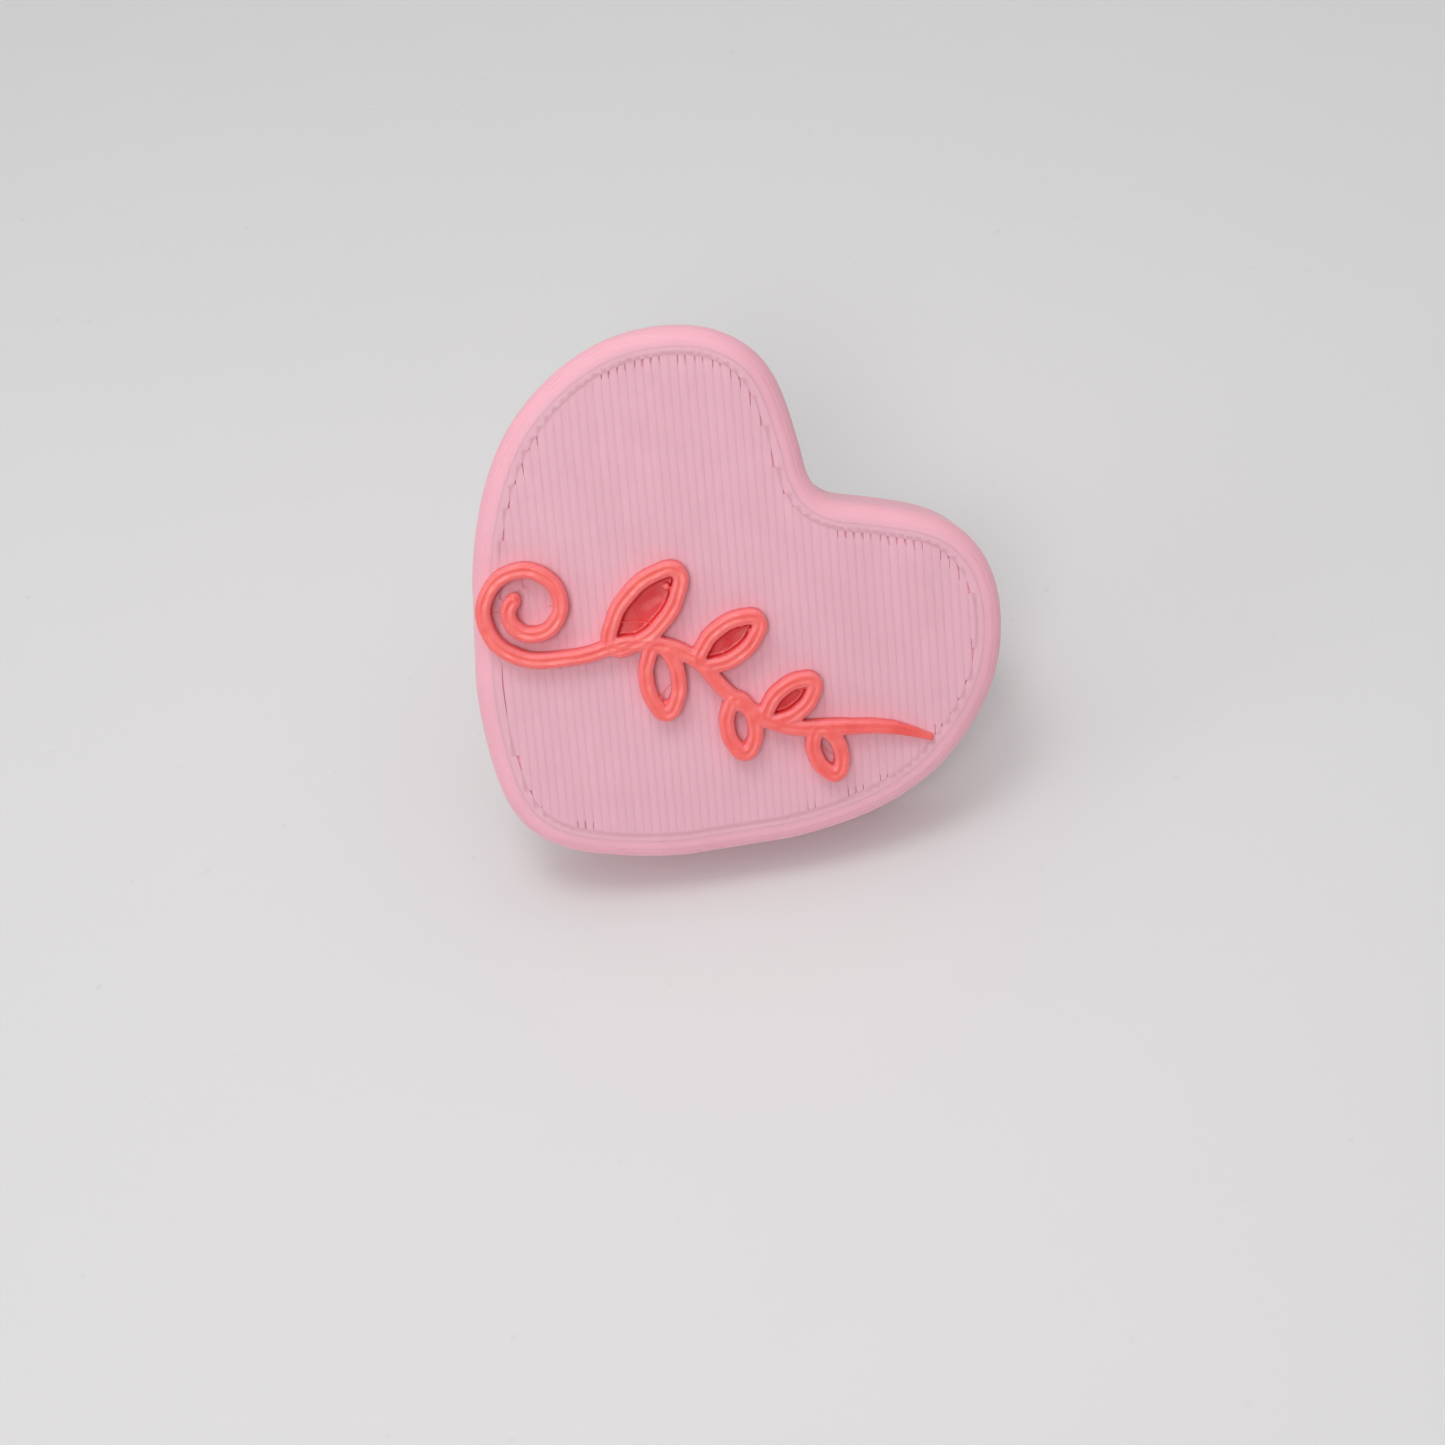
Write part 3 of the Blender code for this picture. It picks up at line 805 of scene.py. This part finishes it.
def heart_shell(shape):
    """The wall with its layers, the floor under the face's lines and the recess in the back."""
    rows = [(level(inset, height), tone) for inset, height, tone in wall_profile()]
    rows.append((level(FACE_INSET, THICKNESS - WALL_DROP), FLOOR_TONE))
    rows.append((level(FACE_INSET + FLOOR_SLOPE, FACE_FLOOR), FLOOR_TONE))
    starts = [shape.add(row, tone) for row, tone in rows]
    count = len(OUTLINE)
    for first, second in zip(starts, starts[1:]):
        shape.bridge(first, second, count)
    shape.cap(starts[-1], count)
    recess = shape.add(level(CHAMFER + LAP, BACK_FLOOR))
    shape.bridge(recess, starts[0], count)
    shape.cap(recess, count)


def ring_bead(shape, inset, width, top, bottom, crown, tone):
    """A printed line once round the heart. On the back, top is below bottom and the crown negative."""
    side = [(across, top - crown * drop) for across, drop in RING_SIDE]
    other = [(1 - across, height) for across, height in reversed(side[:-1])]
    section = [(0.0, bottom), *side, *other, (1.0, bottom)]
    shape.ring([level(inset + across * width, height) for across, height in section], tone)


def spans(polygon, along, offset):
    """Where a line in direction along, offset sideways, lies inside the polygon: pairs of distances."""
    across = np.array((-along[1], along[0]))
    sides = polygon @ across - offset
    runs = polygon @ along
    after = np.roll(sides, -1)
    crossing = np.nonzero((sides > 0) != (after > 0))[0]
    part = sides[crossing] / (sides[crossing] - after[crossing])
    cuts = sorted(runs[crossing] + part * (np.roll(runs, -1)[crossing] - runs[crossing]))
    return list(zip(cuts[::2], cuts[1::2]))


def line_end(place):
    """(length, width) of a line's end, in millimetres and as a share of the line's width."""
    for left, right, low, high, share in PINCHED_ZONES:
        if left <= place[0] <= right and low <= place[1] <= high and random.random() < share:
            length = OVERRUN + PINCH_LENGTH[0] + PINCH_LENGTH[1] * random.random()
            return length, PINCH_WIDTH[0] + PINCH_WIDTH[1] * random.random()
    return OVERRUN, 1.0


def raster(shape, inset, angle, top, bottom, crown, pits):
    """Straight printed lines side by side inside the ring, each a bead of its own."""
    pitch = settings().line_pitch
    along = np.array((math.cos(angle), math.sin(angle)))
    across = np.array((-along[1], along[0]))
    polygon = inset_outline(inset)
    reach = polygon @ across
    half = pitch * LINE_HALF_WIDTH
    shoulder = (-half * LINE_SHOULDER[0], top - crown * LINE_SHOULDER[1])
    side = [(-half, bottom), (-half, top - crown), shoulder, (0.0, top)]
    section = side + [(-x, z) for x, z in reversed(side[:-1])]
    for index in range(math.ceil(reach.min() / pitch), math.floor(reach.max() / pitch) + 1):
        offset = index * pitch
        tone = random.random()
        for start, end in spans(polygon, along, offset):
            if end - start < pitch * SHORTEST_LINE:
                continue
            ends = [along * place + across * offset for place in (start, end)]
            (head, head_width), (foot, foot_width) = map(line_end, ends) if pits else [(OVERRUN, 1.0)] * 2
            start -= OVERRUN
            end += OVERRUN
            middle = np.linspace(start + head + PINCH_RAMP, end - foot - PINCH_RAMP, max(2, int(end - start)))
            places = [start, start + head, *middle, end - foot, end]
            widths = [head_width] * 2 + [1.0] * len(middle) + [foot_width] * 2
            rows = []
            for place, width in zip(places, widths):
                sink = abs(crown) * (random.random() * SINK_SCATTER + (1 - width) * PINCH_SINK)
                centre = along * place + across * offset
                row = []
                for x, z in section:
                    spot = centre + across * x * width
                    height = z if z == bottom else z - math.copysign(sink, top - bottom)
                    row.append((*spot, height))
                rows.append(row)
            shape.tube(rows, tone)


class OBJECT_OT_badge_heart(Operator):
    """Print the heart: its layered wall, the ring round its face and the lines that fill it"""

    bl_idname = "object.badge_heart"
    bl_label = "Heart"

    def execute(self, context):
        shape = Shape()
        heart_shell(shape)
        random.seed(FACE_SEED)
        bottom = FACE_FLOOR - LAP
        ring_bead(shape, FACE_INSET - LAP, RING_WIDTH + RING_LAP, THICKNESS, bottom, RING_CROWN, RING_TONE)
        inside = FACE_INSET + RING_GAP + RING_WIDTH
        raster(shape, inside, FACE_ANGLE, THICKNESS - LINE_DROP, bottom, FACE_CROWN, True)
        for turn, tone in enumerate(BACK_RING_TONES):
            inset = CHAMFER + BACK_RING_INSET + turn * BACK_RING_PITCH
            ring_bead(shape, inset, BACK_RING_WIDTH, 0.0, BACK_HEIGHT, BACK_CROWN, tone)
        raster(shape, CHAMFER + BACK_LINES_INSET, BACK_ANGLE, LINE_DROP, BACK_HEIGHT, BACK_CROWN, False)
        heart = make_object("heart_print", shape, BADGE, sharp=60.0)
        dress(heart, pink_print(), "heart", "pink_print", "heart_body")
        return {"FINISHED"}


# ---- Sprig -------------------------------------------------------------------------------------------------


def stem_knots():
    """The scroll's knots, wound outwards, and then those of the wave and the tail."""
    knots = []
    for index in range(SCROLL_KNOTS):
        part = index / (SCROLL_KNOTS - 1)
        angle = math.radians(-90 - 360 * SCROLL_TURNS * (1 - part))
        radius = SCROLL_RADII[0] + (SCROLL_RADII[1] - SCROLL_RADII[0]) * part
        x = SCROLL_CENTRE[0] + radius * math.cos(angle)
        y = SCROLL_CENTRE[1] + radius * math.sin(angle)
        knots.append((x, y))
    return knots + list(WAVE_KNOTS)


def leaf_knots(s, t, heading, length, width):
    """A closed leaf, widest at its middle and narrow at both ends."""
    along = np.array((math.cos(math.radians(heading)), math.sin(math.radians(heading))))
    across = np.array((-along[1], along[0]))
    shape = [(0.0, 0.0), *LEAF_SIDE, (1.0, 0.0)]
    shape += [(ahead, -aside) for ahead, aside in reversed(LEAF_SIDE)]
    return [np.array((s, t)) + along * length * ahead + across * width * aside for ahead, aside in shape]


def section_curve():
    """The strand's section: two beads side by side, so that its top dips a little in the middle."""
    half = settings().strand_width / 2
    top = settings().strand_height
    points = [(half, STRAND_FOOT)] + [(half * share, top - drop) for share, drop in STRAND_SIDE]
    points += [(-x, y) for x, y in reversed(points[:-1])]
    curve = bpy.data.curves.new("strand_section", "CURVE")
    curve.dimensions = "2D"
    curve.fill_mode = "NONE"
    spline = curve.splines.new("POLY")
    spline.points.add(len(points) - 1)
    for target, (x, y) in zip(spline.points, points):
        target.co = (x, y, 0.0, 1.0)
    spline.use_cyclic_u = True
    obj = bpy.data.objects.new("strand_section", curve)
    bpy.context.scene.collection.objects.link(obj)
    return obj


def swept(knots, cyclic, scales, section, steps):
    """(mesh, centre line) of one strand, in millimetres."""
    curve = bpy.data.curves.new("strand", "CURVE")
    curve.dimensions = "2D"
    curve.fill_mode = "NONE"
    curve.resolution_u = steps
    curve.use_fill_caps = not cyclic
    spline = curve.splines.new("BEZIER")
    spline.bezier_points.add(len(knots) - 1)
    for target, knot, scale in zip(spline.bezier_points, knots, scales):
        target.co = (knot[0], knot[1], 0.0)
        target.handle_left_type = "AUTO"
        target.handle_right_type = "AUTO"
        target.radius = scale
    spline.use_cyclic_u = cyclic
    obj = bpy.data.objects.new("strand", curve)
    bpy.context.scene.collection.objects.link(obj)
    graph = bpy.context.evaluated_depsgraph_get()
    graph.update()
    plain = bpy.data.meshes.new_from_object(obj.evaluated_get(graph))
    line = np.array([vertex.co for vertex in plain.vertices])
    curve.bevel_mode = "OBJECT"
    curve.bevel_object = section
    bpy.context.view_layer.update()
    graph = bpy.context.evaluated_depsgraph_get()
    mesh = bpy.data.meshes.new_from_object(obj.evaluated_get(graph))
    bpy.data.objects.remove(obj, do_unlink=True)
    return mesh, line


def leaf_floor(bm, line):
    """A thin skin across a leaf, as if its first layer were filled."""
    low = [bm.verts.new((x, y, STRAND_FOOT)) for x, y, _ in line]
    high = [bm.verts.new((x, y, LEAF_SKIN)) for x, y, _ in line]
    bm.faces.new(low)
    bm.faces.new(high)
    for i in range(len(line)):
        j = (i + 1) % len(line)
        bm.faces.new((low[i], low[j], high[j], high[i]))


def blob(bm, place, radius):
    """A flattened drop of plastic."""
    made = bmesh.ops.create_icosphere(bm, subdivisions=2, radius=radius)
    bmesh.ops.scale(bm, vec=(1.0, 1.0, 0.8), verts=made["verts"])
    bmesh.ops.translate(bm, vec=place, verts=made["verts"])


def sprig_matrix():
    """Carries the sprig's own frame to the heart's face."""
    start = Matrix.Translation((SPRIG_START[0] * MM, SPRIG_START[1] * MM, THICKNESS * MM))
    return BADGE @ start @ Matrix.Rotation(SPRIG_SLOPE, 4, "Z")


def nearest_distance(points, line):
    """Distance of each point to the nearest point of the line, seen from above."""
    found = np.empty(len(points))
    for start in range(0, len(points), BATCH):
        part = points[start : start + BATCH, None, :2] - line[None, :, :2]
        found[start : start + BATCH] = np.sqrt((part**2).sum(axis=2)).min(axis=1)
    return found


def vertex_vectors(mesh, name):
    """One row for each vertex: its place for the name "co", or its normal for "normal"."""
    values = np.empty(len(mesh.vertices) * 3)
    mesh.vertices.foreach_get(name, values)
    return values.reshape(-1, 3)


def settle_strands(mesh, lines):
    """Adds the layer grooves to the fused strands and stores tones that paint a highlight along their top
    edges and painted shade on the leaves' floors.
    """
    points = vertex_vectors(mesh, "co")
    normals = vertex_vectors(mesh, "normal")
    layer = settings().layer_height
    groove = np.abs(np.cos(math.pi * points[:, 2] / layer)) ** GROOVE_POWER * STRAND_GROOVE
    upright = 1 - np.abs(normals[:, 2])
    points[:, :2] -= normals[:, :2] * (groove * upright)[:, None]
    ripple = np.sin(points[:, 0] * 5.3 + 1.7 * np.sin(points[:, 1] * 3.1)) * RIPPLE_DEPTH
    points += normals * ripple[:, None]
    away = nearest_distance(points, np.vstack(lines))
    half = settings().strand_width / 2
    top = settings().strand_height
    # rim marks the strands' top edges, whose tone paints a highlight there.
    rim = np.clip((away - half * 0.45) / (half * 0.5), 0, 1) * np.clip((points[:, 2] - top + 0.4) / 0.3, 0, 1)
    # floor marks the leaves' low floors, whose tone paints shade there.
    floor = np.clip((away - half * 0.85) / (half * 0.2), 0, 1) * np.clip((0.3 - points[:, 2]) / 0.12, 0, 1)
    tones = 0.5 + 0.5 * rim
    tones = np.where(floor > 0.02, 0.5 * (1 - floor), tones)
    points[:, 2] = np.minimum(points[:, 2], top)
    mesh.vertices.foreach_set("co", (points * MM).ravel())
    mesh.attributes.new("tone", "FLOAT", "POINT").data.foreach_set("value", tones)
    mesh.update()


def add_blobs(bm, lines):
    """The drops where the nozzle stopped: two inside each leaf and one at the scroll's start."""
    random.seed(BLOB_SEED)
    for line in lines[1:]:
        middle = line.mean(axis=0)
        for _ in range(BLOBS_PER_LEAF):
            spot = line[int(len(line) * (0.42 + 0.16 * random.random()))]
            spot = spot + (middle - spot) * (0.3 + 0.1 * random.random())
            height = 0.35 + 0.2 * random.random()
            blob(bm, (spot[0], spot[1], height), 0.13 + 0.06 * random.random())
    blob(bm, (*lines[0][0][:2], SCROLL_BLOB_HEIGHT), SCROLL_BLOB_RADIUS)


def fused(bm):
    """A mesh of the overlapping strands as one skin, slightly softened."""
    mesh = bpy.data.meshes.new("sprig_print")
    bmesh.ops.recalc_face_normals(bm, faces=bm.faces)
    bm.to_mesh(mesh)
    obj = bpy.data.objects.new("sprig_fusing", mesh)
    bpy.context.scene.collection.objects.link(obj)
    remesh = obj.modifiers.new("Fuse", "REMESH")
    remesh.mode = "VOXEL"
    remesh.voxel_size = VOXEL
    soften = obj.modifiers.new("Soften", "SMOOTH")
    soften.factor = 0.5
    soften.iterations = 2
    bpy.context.view_layer.update()
    graph = bpy.context.evaluated_depsgraph_get()
    skin = bpy.data.meshes.new_from_object(obj.evaluated_get(graph))
    bpy.data.objects.remove(obj, do_unlink=True)
    return skin


class OBJECT_OT_badge_sprig(Operator):
    """Print the raised sprig: a scroll, a stem, six leaves and the blobs where the nozzle stopped"""

    bl_idname = "object.badge_sprig"
    bl_label = "Sprig"

    def execute(self, context):
        section = section_curve()
        stem = stem_knots()
        stem_scales = [1.0] * (len(stem) - len(TAIL_SCALES)) + list(TAIL_SCALES)
        strands = [swept(stem, False, stem_scales, section, STEM_STEPS)]
        for leaf in LEAVES:
            knots = leaf_knots(*leaf)
            strands.append(swept(knots, True, [1.0] * len(knots), section, LEAF_STEPS))
        bpy.data.objects.remove(section, do_unlink=True)
        lines = [line for _, line in strands]
        bm = bmesh.new()
        for mesh, _ in strands:
            bm.from_mesh(mesh)
        bmesh.ops.remove_doubles(bm, verts=bm.verts, dist=WELD)
        for index in FILLED_LEAVES:
            leaf_floor(bm, lines[index + 1])
        add_blobs(bm, lines)
        skin = fused(bm)
        bm.free()
        settle_strands(skin, lines)
        skin.shade_smooth()
        obj = set_down("sprig_print", skin, sprig_matrix())
        dress(obj, coral_print(), "heart", "coral_print", "flourish")
        return {"FINISHED"}


def thread(shape, start, end, sag, radius):
    """A thin thread of plastic between two points, in millimetres."""
    start = np.array(start)
    end = np.array(end)
    way = (end - start) / np.linalg.norm(end - start)
    side = np.cross(way, (0.0, 0.0, 1.0))
    side /= np.linalg.norm(side)
    lift = np.cross(side, way)
    rows = []
    for t in np.linspace(0.0, 1.0, THREAD_SPOTS):
        centre = start + (end - start) * t - np.array((0, 0, sag)) * 4 * t * (1 - t)
        centre = centre + side * 0.04 * math.sin(9 * t + start[0])
        size = radius * (1.5 - math.sin(math.pi * t) * 0.7)
        turns = np.arange(THREAD_SIDES) * 2 * math.pi / THREAD_SIDES
        rows.append([centre + side * math.cos(a) * size + lift * math.sin(a) * size for a in turns])
    shape.tube(rows, THREAD_HIGHLIGHT_TONE)


class OBJECT_OT_badge_threads(Operator):
    """Draw the fine threads of coral plastic that the nozzle left between the leaves"""

    bl_idname = "object.badge_threads"
    bl_label = "Threads"

    def execute(self, context):
        shape = Shape()
        random.seed(THREAD_SEED)
        for index in range(settings().stray_threads):
            leaf = [np.array(knot) for knot in leaf_knots(*LEAVES[index % len(LEAVES)])]
            first = leaf[1 + index % 3]
            second = leaf[-1 - (index + 1) % 3]
            high = 0.25 + 0.35 * random.random()
            thread(shape, (*first, high), (*second, high - 0.15 * random.random()), *LEAF_THREAD)
        for angle in SCROLL_THREAD_ANGLES:
            way = np.array((math.cos(angle), math.sin(angle)))
            inner = np.array(SCROLL_CENTRE) + way * 1.0
            outer = np.array(SCROLL_CENTRE) + way * 2.0
            thread(shape, (*inner, 0.4), (*outer, 0.28), *SCROLL_THREAD)
        threads = make_object("sprig_threads", shape, sprig_matrix())
        dress(threads, bpy.data.materials["coral_print"], "heart", "coral_print")
        return {"FINISHED"}


# ---- Pin ---------------------------------------------------------------------------------------------------


def glue_edge(angles):
    """The share of its radius that the squeezed-out glue reaches in each direction."""
    return 1 - 0.012 * (1 + np.sin(3 * angles + 0.4)) - 0.008 * (1 + np.sin(7 * angles + 2))


def post_profile():
    """The post from its point, over the two rounded grip grooves, to its riveted head and foot."""
    profile = list(POST_POINT)
    for place in GROOVE_PLACES:
        for part in np.linspace(-1.0, 1.0, 9):
            depth = GROOVE_DEPTH * math.cos(part * math.pi / 2) ** 0.7
            profile.append((POST_RADIUS - depth, place - GROOVE_HALF_LENGTH * part))
    return profile + list(POST_HEAD + POST_FOOT)


class OBJECT_OT_badge_pin(Operator):
    """Make the glue, the stamped disc and the grooved post"""

    bl_idname = "object.badge_pin"
    bl_label = "Pin"

    def execute(self, context):
        glue = Shape()
        lathe(glue, GLUE_PROFILE, PIN_STEPS, wobble=glue_edge)
        bead = make_object("glue_bead", glue, pin_matrix(GLUE_DEPTH))
        dress(bead, clear_glue(), "heart", "clear_glue", "glue_pad")

        disc = Shape()
        lathe(disc, DISC_PROFILE, PIN_STEPS)
        nickel = nickel_plate()
        plate = make_object("pin_disc", disc, pin_matrix(DISC_DEPTH), 30.0)
        dress(plate, nickel, "heart", "nickel_plate", "pin_base")

        post = Shape()
        lathe(post, post_profile(), POST_STEPS)
        needle = make_object("pin_needle", post, pin_matrix(0.0), 30.0)
        dress(needle, nickel, "heart", "nickel_plate", "pin_post")
        return {"FINISHED"}


# ---- Clutch ------------------------------------------------------------------------------------------------


def pip(angle):
    """The rows of one domed grip pip, at the given angle on the plate."""
    centre = np.array((PIP_PLACE * math.cos(angle), PIP_PLACE * math.sin(angle)))
    turns = np.arange(PIP_STEPS) * 2 * math.pi / PIP_STEPS
    circle = np.column_stack((np.cos(turns), np.sin(turns)))
    rows = []
    for part in np.linspace(0.0, math.pi / 2, 6):
        height = PIP_FOOT + PIP_HEIGHT * math.sin(part)
        spots = centre + (PIP_RADIUS * math.cos(part) + 0.02) * circle
        rows.append(np.column_stack((spots, np.full(PIP_STEPS, height))))
    return rows


def jaw_ring():
    """The rows of the split ring of wire."""
    turns = np.arange(WIRE_STEPS) * 2 * math.pi / WIRE_STEPS
    reach = JAW_RING_RADIUS + JAW_RING_WIRE * np.cos(turns)
    height = JAW_RING_WIRE * np.sin(turns)
    rows = []
    for angle in np.linspace(JAW_RING_SPLIT / 2, 2 * math.pi - JAW_RING_SPLIT / 2, JAW_RING_STEPS):
        rows.append(np.column_stack((reach * math.cos(angle), reach * math.sin(angle), height)))
    return rows


class OBJECT_OT_badge_clutch(Operator):
    """Stamp the clutch's plate and cup, with four grip pips, and coil the ring that closes the jaws"""

    bl_idname = "object.badge_clutch"
    bl_label = "Clutch"

    def execute(self, context):
        plate = Shape()
        lathe(plate, CUP_OUTSIDE + CUP_INSIDE, CUP_STEPS)
        for index in range(PIP_COUNT):
            plate.tube(pip(math.radians(45) + 2 * math.pi * index / PIP_COUNT), 0.9)
        cup = make_object("clutch_cup", plate, pin_matrix(CLUTCH_FRONT), 35.0)
        dress(cup, brass_sheet(), "clutch", "brass_sheet", "clutch_plate")

        ring = Shape()
        ring.tube(jaw_ring())
        wire = make_object("jaw_ring", ring, pin_matrix(CLUTCH_FRONT + JAW_RING_DEPTH))
        dress(wire, spring_wire(), "clutch", "spring_wire", "clutch_spring")
        return {"FINISHED"}


# ---- Wings -------------------------------------------------------------------------------------------------


def wing_surface(run, aside):
    """A point of the wing's middle surface. run is 0 at the jaw and 1 at the tip, aside is -1 to 1."""
    places = np.linspace(0.0, 1.0, len(WING_PATH))
    runs = [run + shift for shift in WING_SOFTENING]
    out, high, half = (np.interp(runs, places, column).mean() for column in np.array(WING_PATH).T)
    rib = RIB_HEIGHT * math.exp(-((aside / RIB_WIDTH) ** 2) - ((run - RIB_MIDDLE) / RIB_LENGTH) ** 2)
    cup = -WING_CUPPING * aside * aside * min(1.0, max(0.0, run - CUPPING_START) * 3)
    return np.array((out - (rib + cup) * 0.55, aside * half, high + (rib + cup) * 0.8))


def wing_shape():
    """The pressed wing with a rib along its middle and a rounded rim."""
    shape = Shape()
    rows, columns = WING_ROWS, WING_COLUMNS
    runs = np.linspace(0.0, 1.0, rows)
    asides = np.linspace(-1.0, 1.0, columns)
    grid = np.array([[wing_surface(run, aside) for aside in asides] for run in runs])
    along = np.gradient(grid, axis=0)
    across = np.gradient(grid, axis=1)
    normal = np.cross(along, across)
    normal /= np.linalg.norm(normal, axis=2)[:, :, None]
    rim = np.minimum(1 - np.abs(asides)[None, :], (1 - runs)[:, None] * 2.2)
    rim = np.minimum(rim, runs[:, None] * 6)
    thick = WING_SHEET / 2 * np.sqrt(np.clip(rim / 0.1, 0.05, 1.0))
    tones = 1.0 - 0.5 * np.clip(rim / 0.12, 0, 1)
    sheets = []
    for side in (1, -1):
        points = grid + normal * (side * thick)[:, :, None]
        sheets.append(shape.add(points.reshape(-1, 3), tones.ravel()))
    for start in sheets:
        for row in range(rows - 1):
            shape.bridge(start + row * columns, start + (row + 1) * columns, columns, closed=False)
    edge = [(0, c) for c in range(columns)] + [(r, columns - 1) for r in range(1, rows)]
    edge += [(rows - 1, c) for c in range(columns - 2, -1, -1)] + [(r, 0) for r in range(rows - 2, 0, -1)]
    for (r0, c0), (r1, c1) in zip(edge, edge[1:] + edge[:1]):
        a, b = r0 * columns + c0, r1 * columns + c1
        shape.faces.append((sheets[0] + a, sheets[0] + b, sheets[1] + b, sheets[1] + a))
    return shape


class OBJECT_OT_badge_wings(Operator):
    """Press the two wings that are squeezed to free the clutch"""

    bl_idname = "object.badge_wings"
    bl_label = "Wings"

    def execute(self, context):
        brass = bpy.data.materials["brass_sheet"]
        for name, angle in (("lower", -FLANK), ("upper", math.pi - FLANK)):
            matrix = pin_matrix(CLUTCH_FRONT) @ Matrix.Rotation(angle, 4, "Z")
            wing = make_object(f"pressed_wing_{name}", wing_shape(), matrix, 50.0)
            dress(wing, brass, f"{name}_wing", "brass_sheet", f"wing_{name}")
        return {"FINISHED"}


# ---- Stage -------------------------------------------------------------------------------------------------


def soft_light(name, place, target, size, power):
    light = bpy.data.lights.new(name, "AREA")
    light.shape = "DISK"
    light.size = size
    light.energy = power
    obj = bpy.data.objects.new(name, light)
    bpy.context.scene.collection.objects.link(obj)
    obj.location = place
    obj.rotation_euler = (Vector(target) - Vector(place)).to_track_quat("-Z", "Y").to_euler()


def aim_camera(camera):
    """Places the camera on its line of sight and rolls it."""
    reach = math.cos(CAMERA_ELEVATION)
    ahead = (math.sin(CAMERA_AZIMUTH) * reach, math.cos(CAMERA_AZIMUTH) * reach)
    forward = Vector((*ahead, -math.sin(CAMERA_ELEVATION)))
    right = forward.cross(Vector((0, 0, 1))).normalized()
    up = right.cross(forward)
    rolled_right = right * math.cos(CAMERA_ROLL) + up * math.sin(CAMERA_ROLL)
    rolled_up = up * math.cos(CAMERA_ROLL) - right * math.sin(CAMERA_ROLL)
    matrix = Matrix((rolled_right, rolled_up, -forward)).transposed().to_4x4()
    matrix.translation = CAMERA_TARGET - forward * CAMERA_DISTANCE
    camera.matrix_world = matrix


class OBJECT_OT_badge_stage(Operator):
    """Set the pale table, the soft lights and the camera"""

    bl_idname = "object.badge_stage"
    bl_label = "Stage"

    def execute(self, context):
        bm = bmesh.new()
        bmesh.ops.create_grid(bm, x_segments=TABLE_CELLS, y_segments=TABLE_CELLS, size=TABLE_HALF)
        mesh = bpy.data.meshes.new("table")
        bm.to_mesh(mesh)
        bm.free()
        table = set_down("table", mesh, Matrix.Identity(4))
        table.data.materials.append(table_paint())

        world = bpy.data.worlds.new("room_light")
        world.use_nodes = True
        background = world.node_tree.nodes["Background"]
        background.inputs["Color"].default_value = SKY_COLOUR
        background.inputs["Strength"].default_value = settings().sky
        context.scene.world = world
        for name, place, target, size, power in LIGHTS:
            soft_light(name, place, target, size, getattr(settings(), power))

        data = bpy.data.cameras.new("camera")
        data.sensor_width = CAMERA_SENSOR
        data.lens = CAMERA_LENS
        data.clip_start = CAMERA_NEAR
        camera = bpy.data.objects.new("camera", data)
        context.scene.collection.objects.link(camera)
        aim_camera(camera)
        context.scene.camera = camera
        context.scene.view_settings.view_transform = "Standard"
        return {"FINISHED"}


# ---- Add-on ------------------------------------------------------------------------------------------------

PIECES = (
    OBJECT_OT_badge_heart,
    OBJECT_OT_badge_sprig,
    OBJECT_OT_badge_threads,
    OBJECT_OT_badge_pin,
    OBJECT_OT_badge_clutch,
    OBJECT_OT_badge_wings,
    OBJECT_OT_badge_stage,
)


class VIEW3D_PT_heart_badge(Panel):
    """The badge's pieces and sizes"""

    bl_label = "Heart Badge"
    bl_space_type = "VIEW_3D"
    bl_region_type = "UI"
    bl_category = "Heart Badge"

    def draw(self, context):
        for piece in PIECES:
            self.layout.operator(piece.bl_idname)
        for name in HeartBadgeSettings.__annotations__:
            self.layout.prop(context.scene.heart_badge, name)


CLASSES = (HeartBadgeSettings, *PIECES, VIEW3D_PT_heart_badge)


def register():
    for item in CLASSES:
        bpy.utils.register_class(item)
    bpy.types.Scene.heart_badge = PointerProperty(type=HeartBadgeSettings)


def unregister():
    del bpy.types.Scene.heart_badge
    for item in reversed(CLASSES):
        bpy.utils.unregister_class(item)


def main():
    register()
    bpy.ops.object.badge_stage()
    bpy.ops.object.badge_heart()
    bpy.ops.object.badge_sprig()
    bpy.ops.object.badge_threads()
    bpy.ops.object.badge_pin()
    bpy.ops.object.badge_clutch()
    bpy.ops.object.badge_wings()
    bpy.context.view_layer.update()


if __name__ == "__main__":
    main()
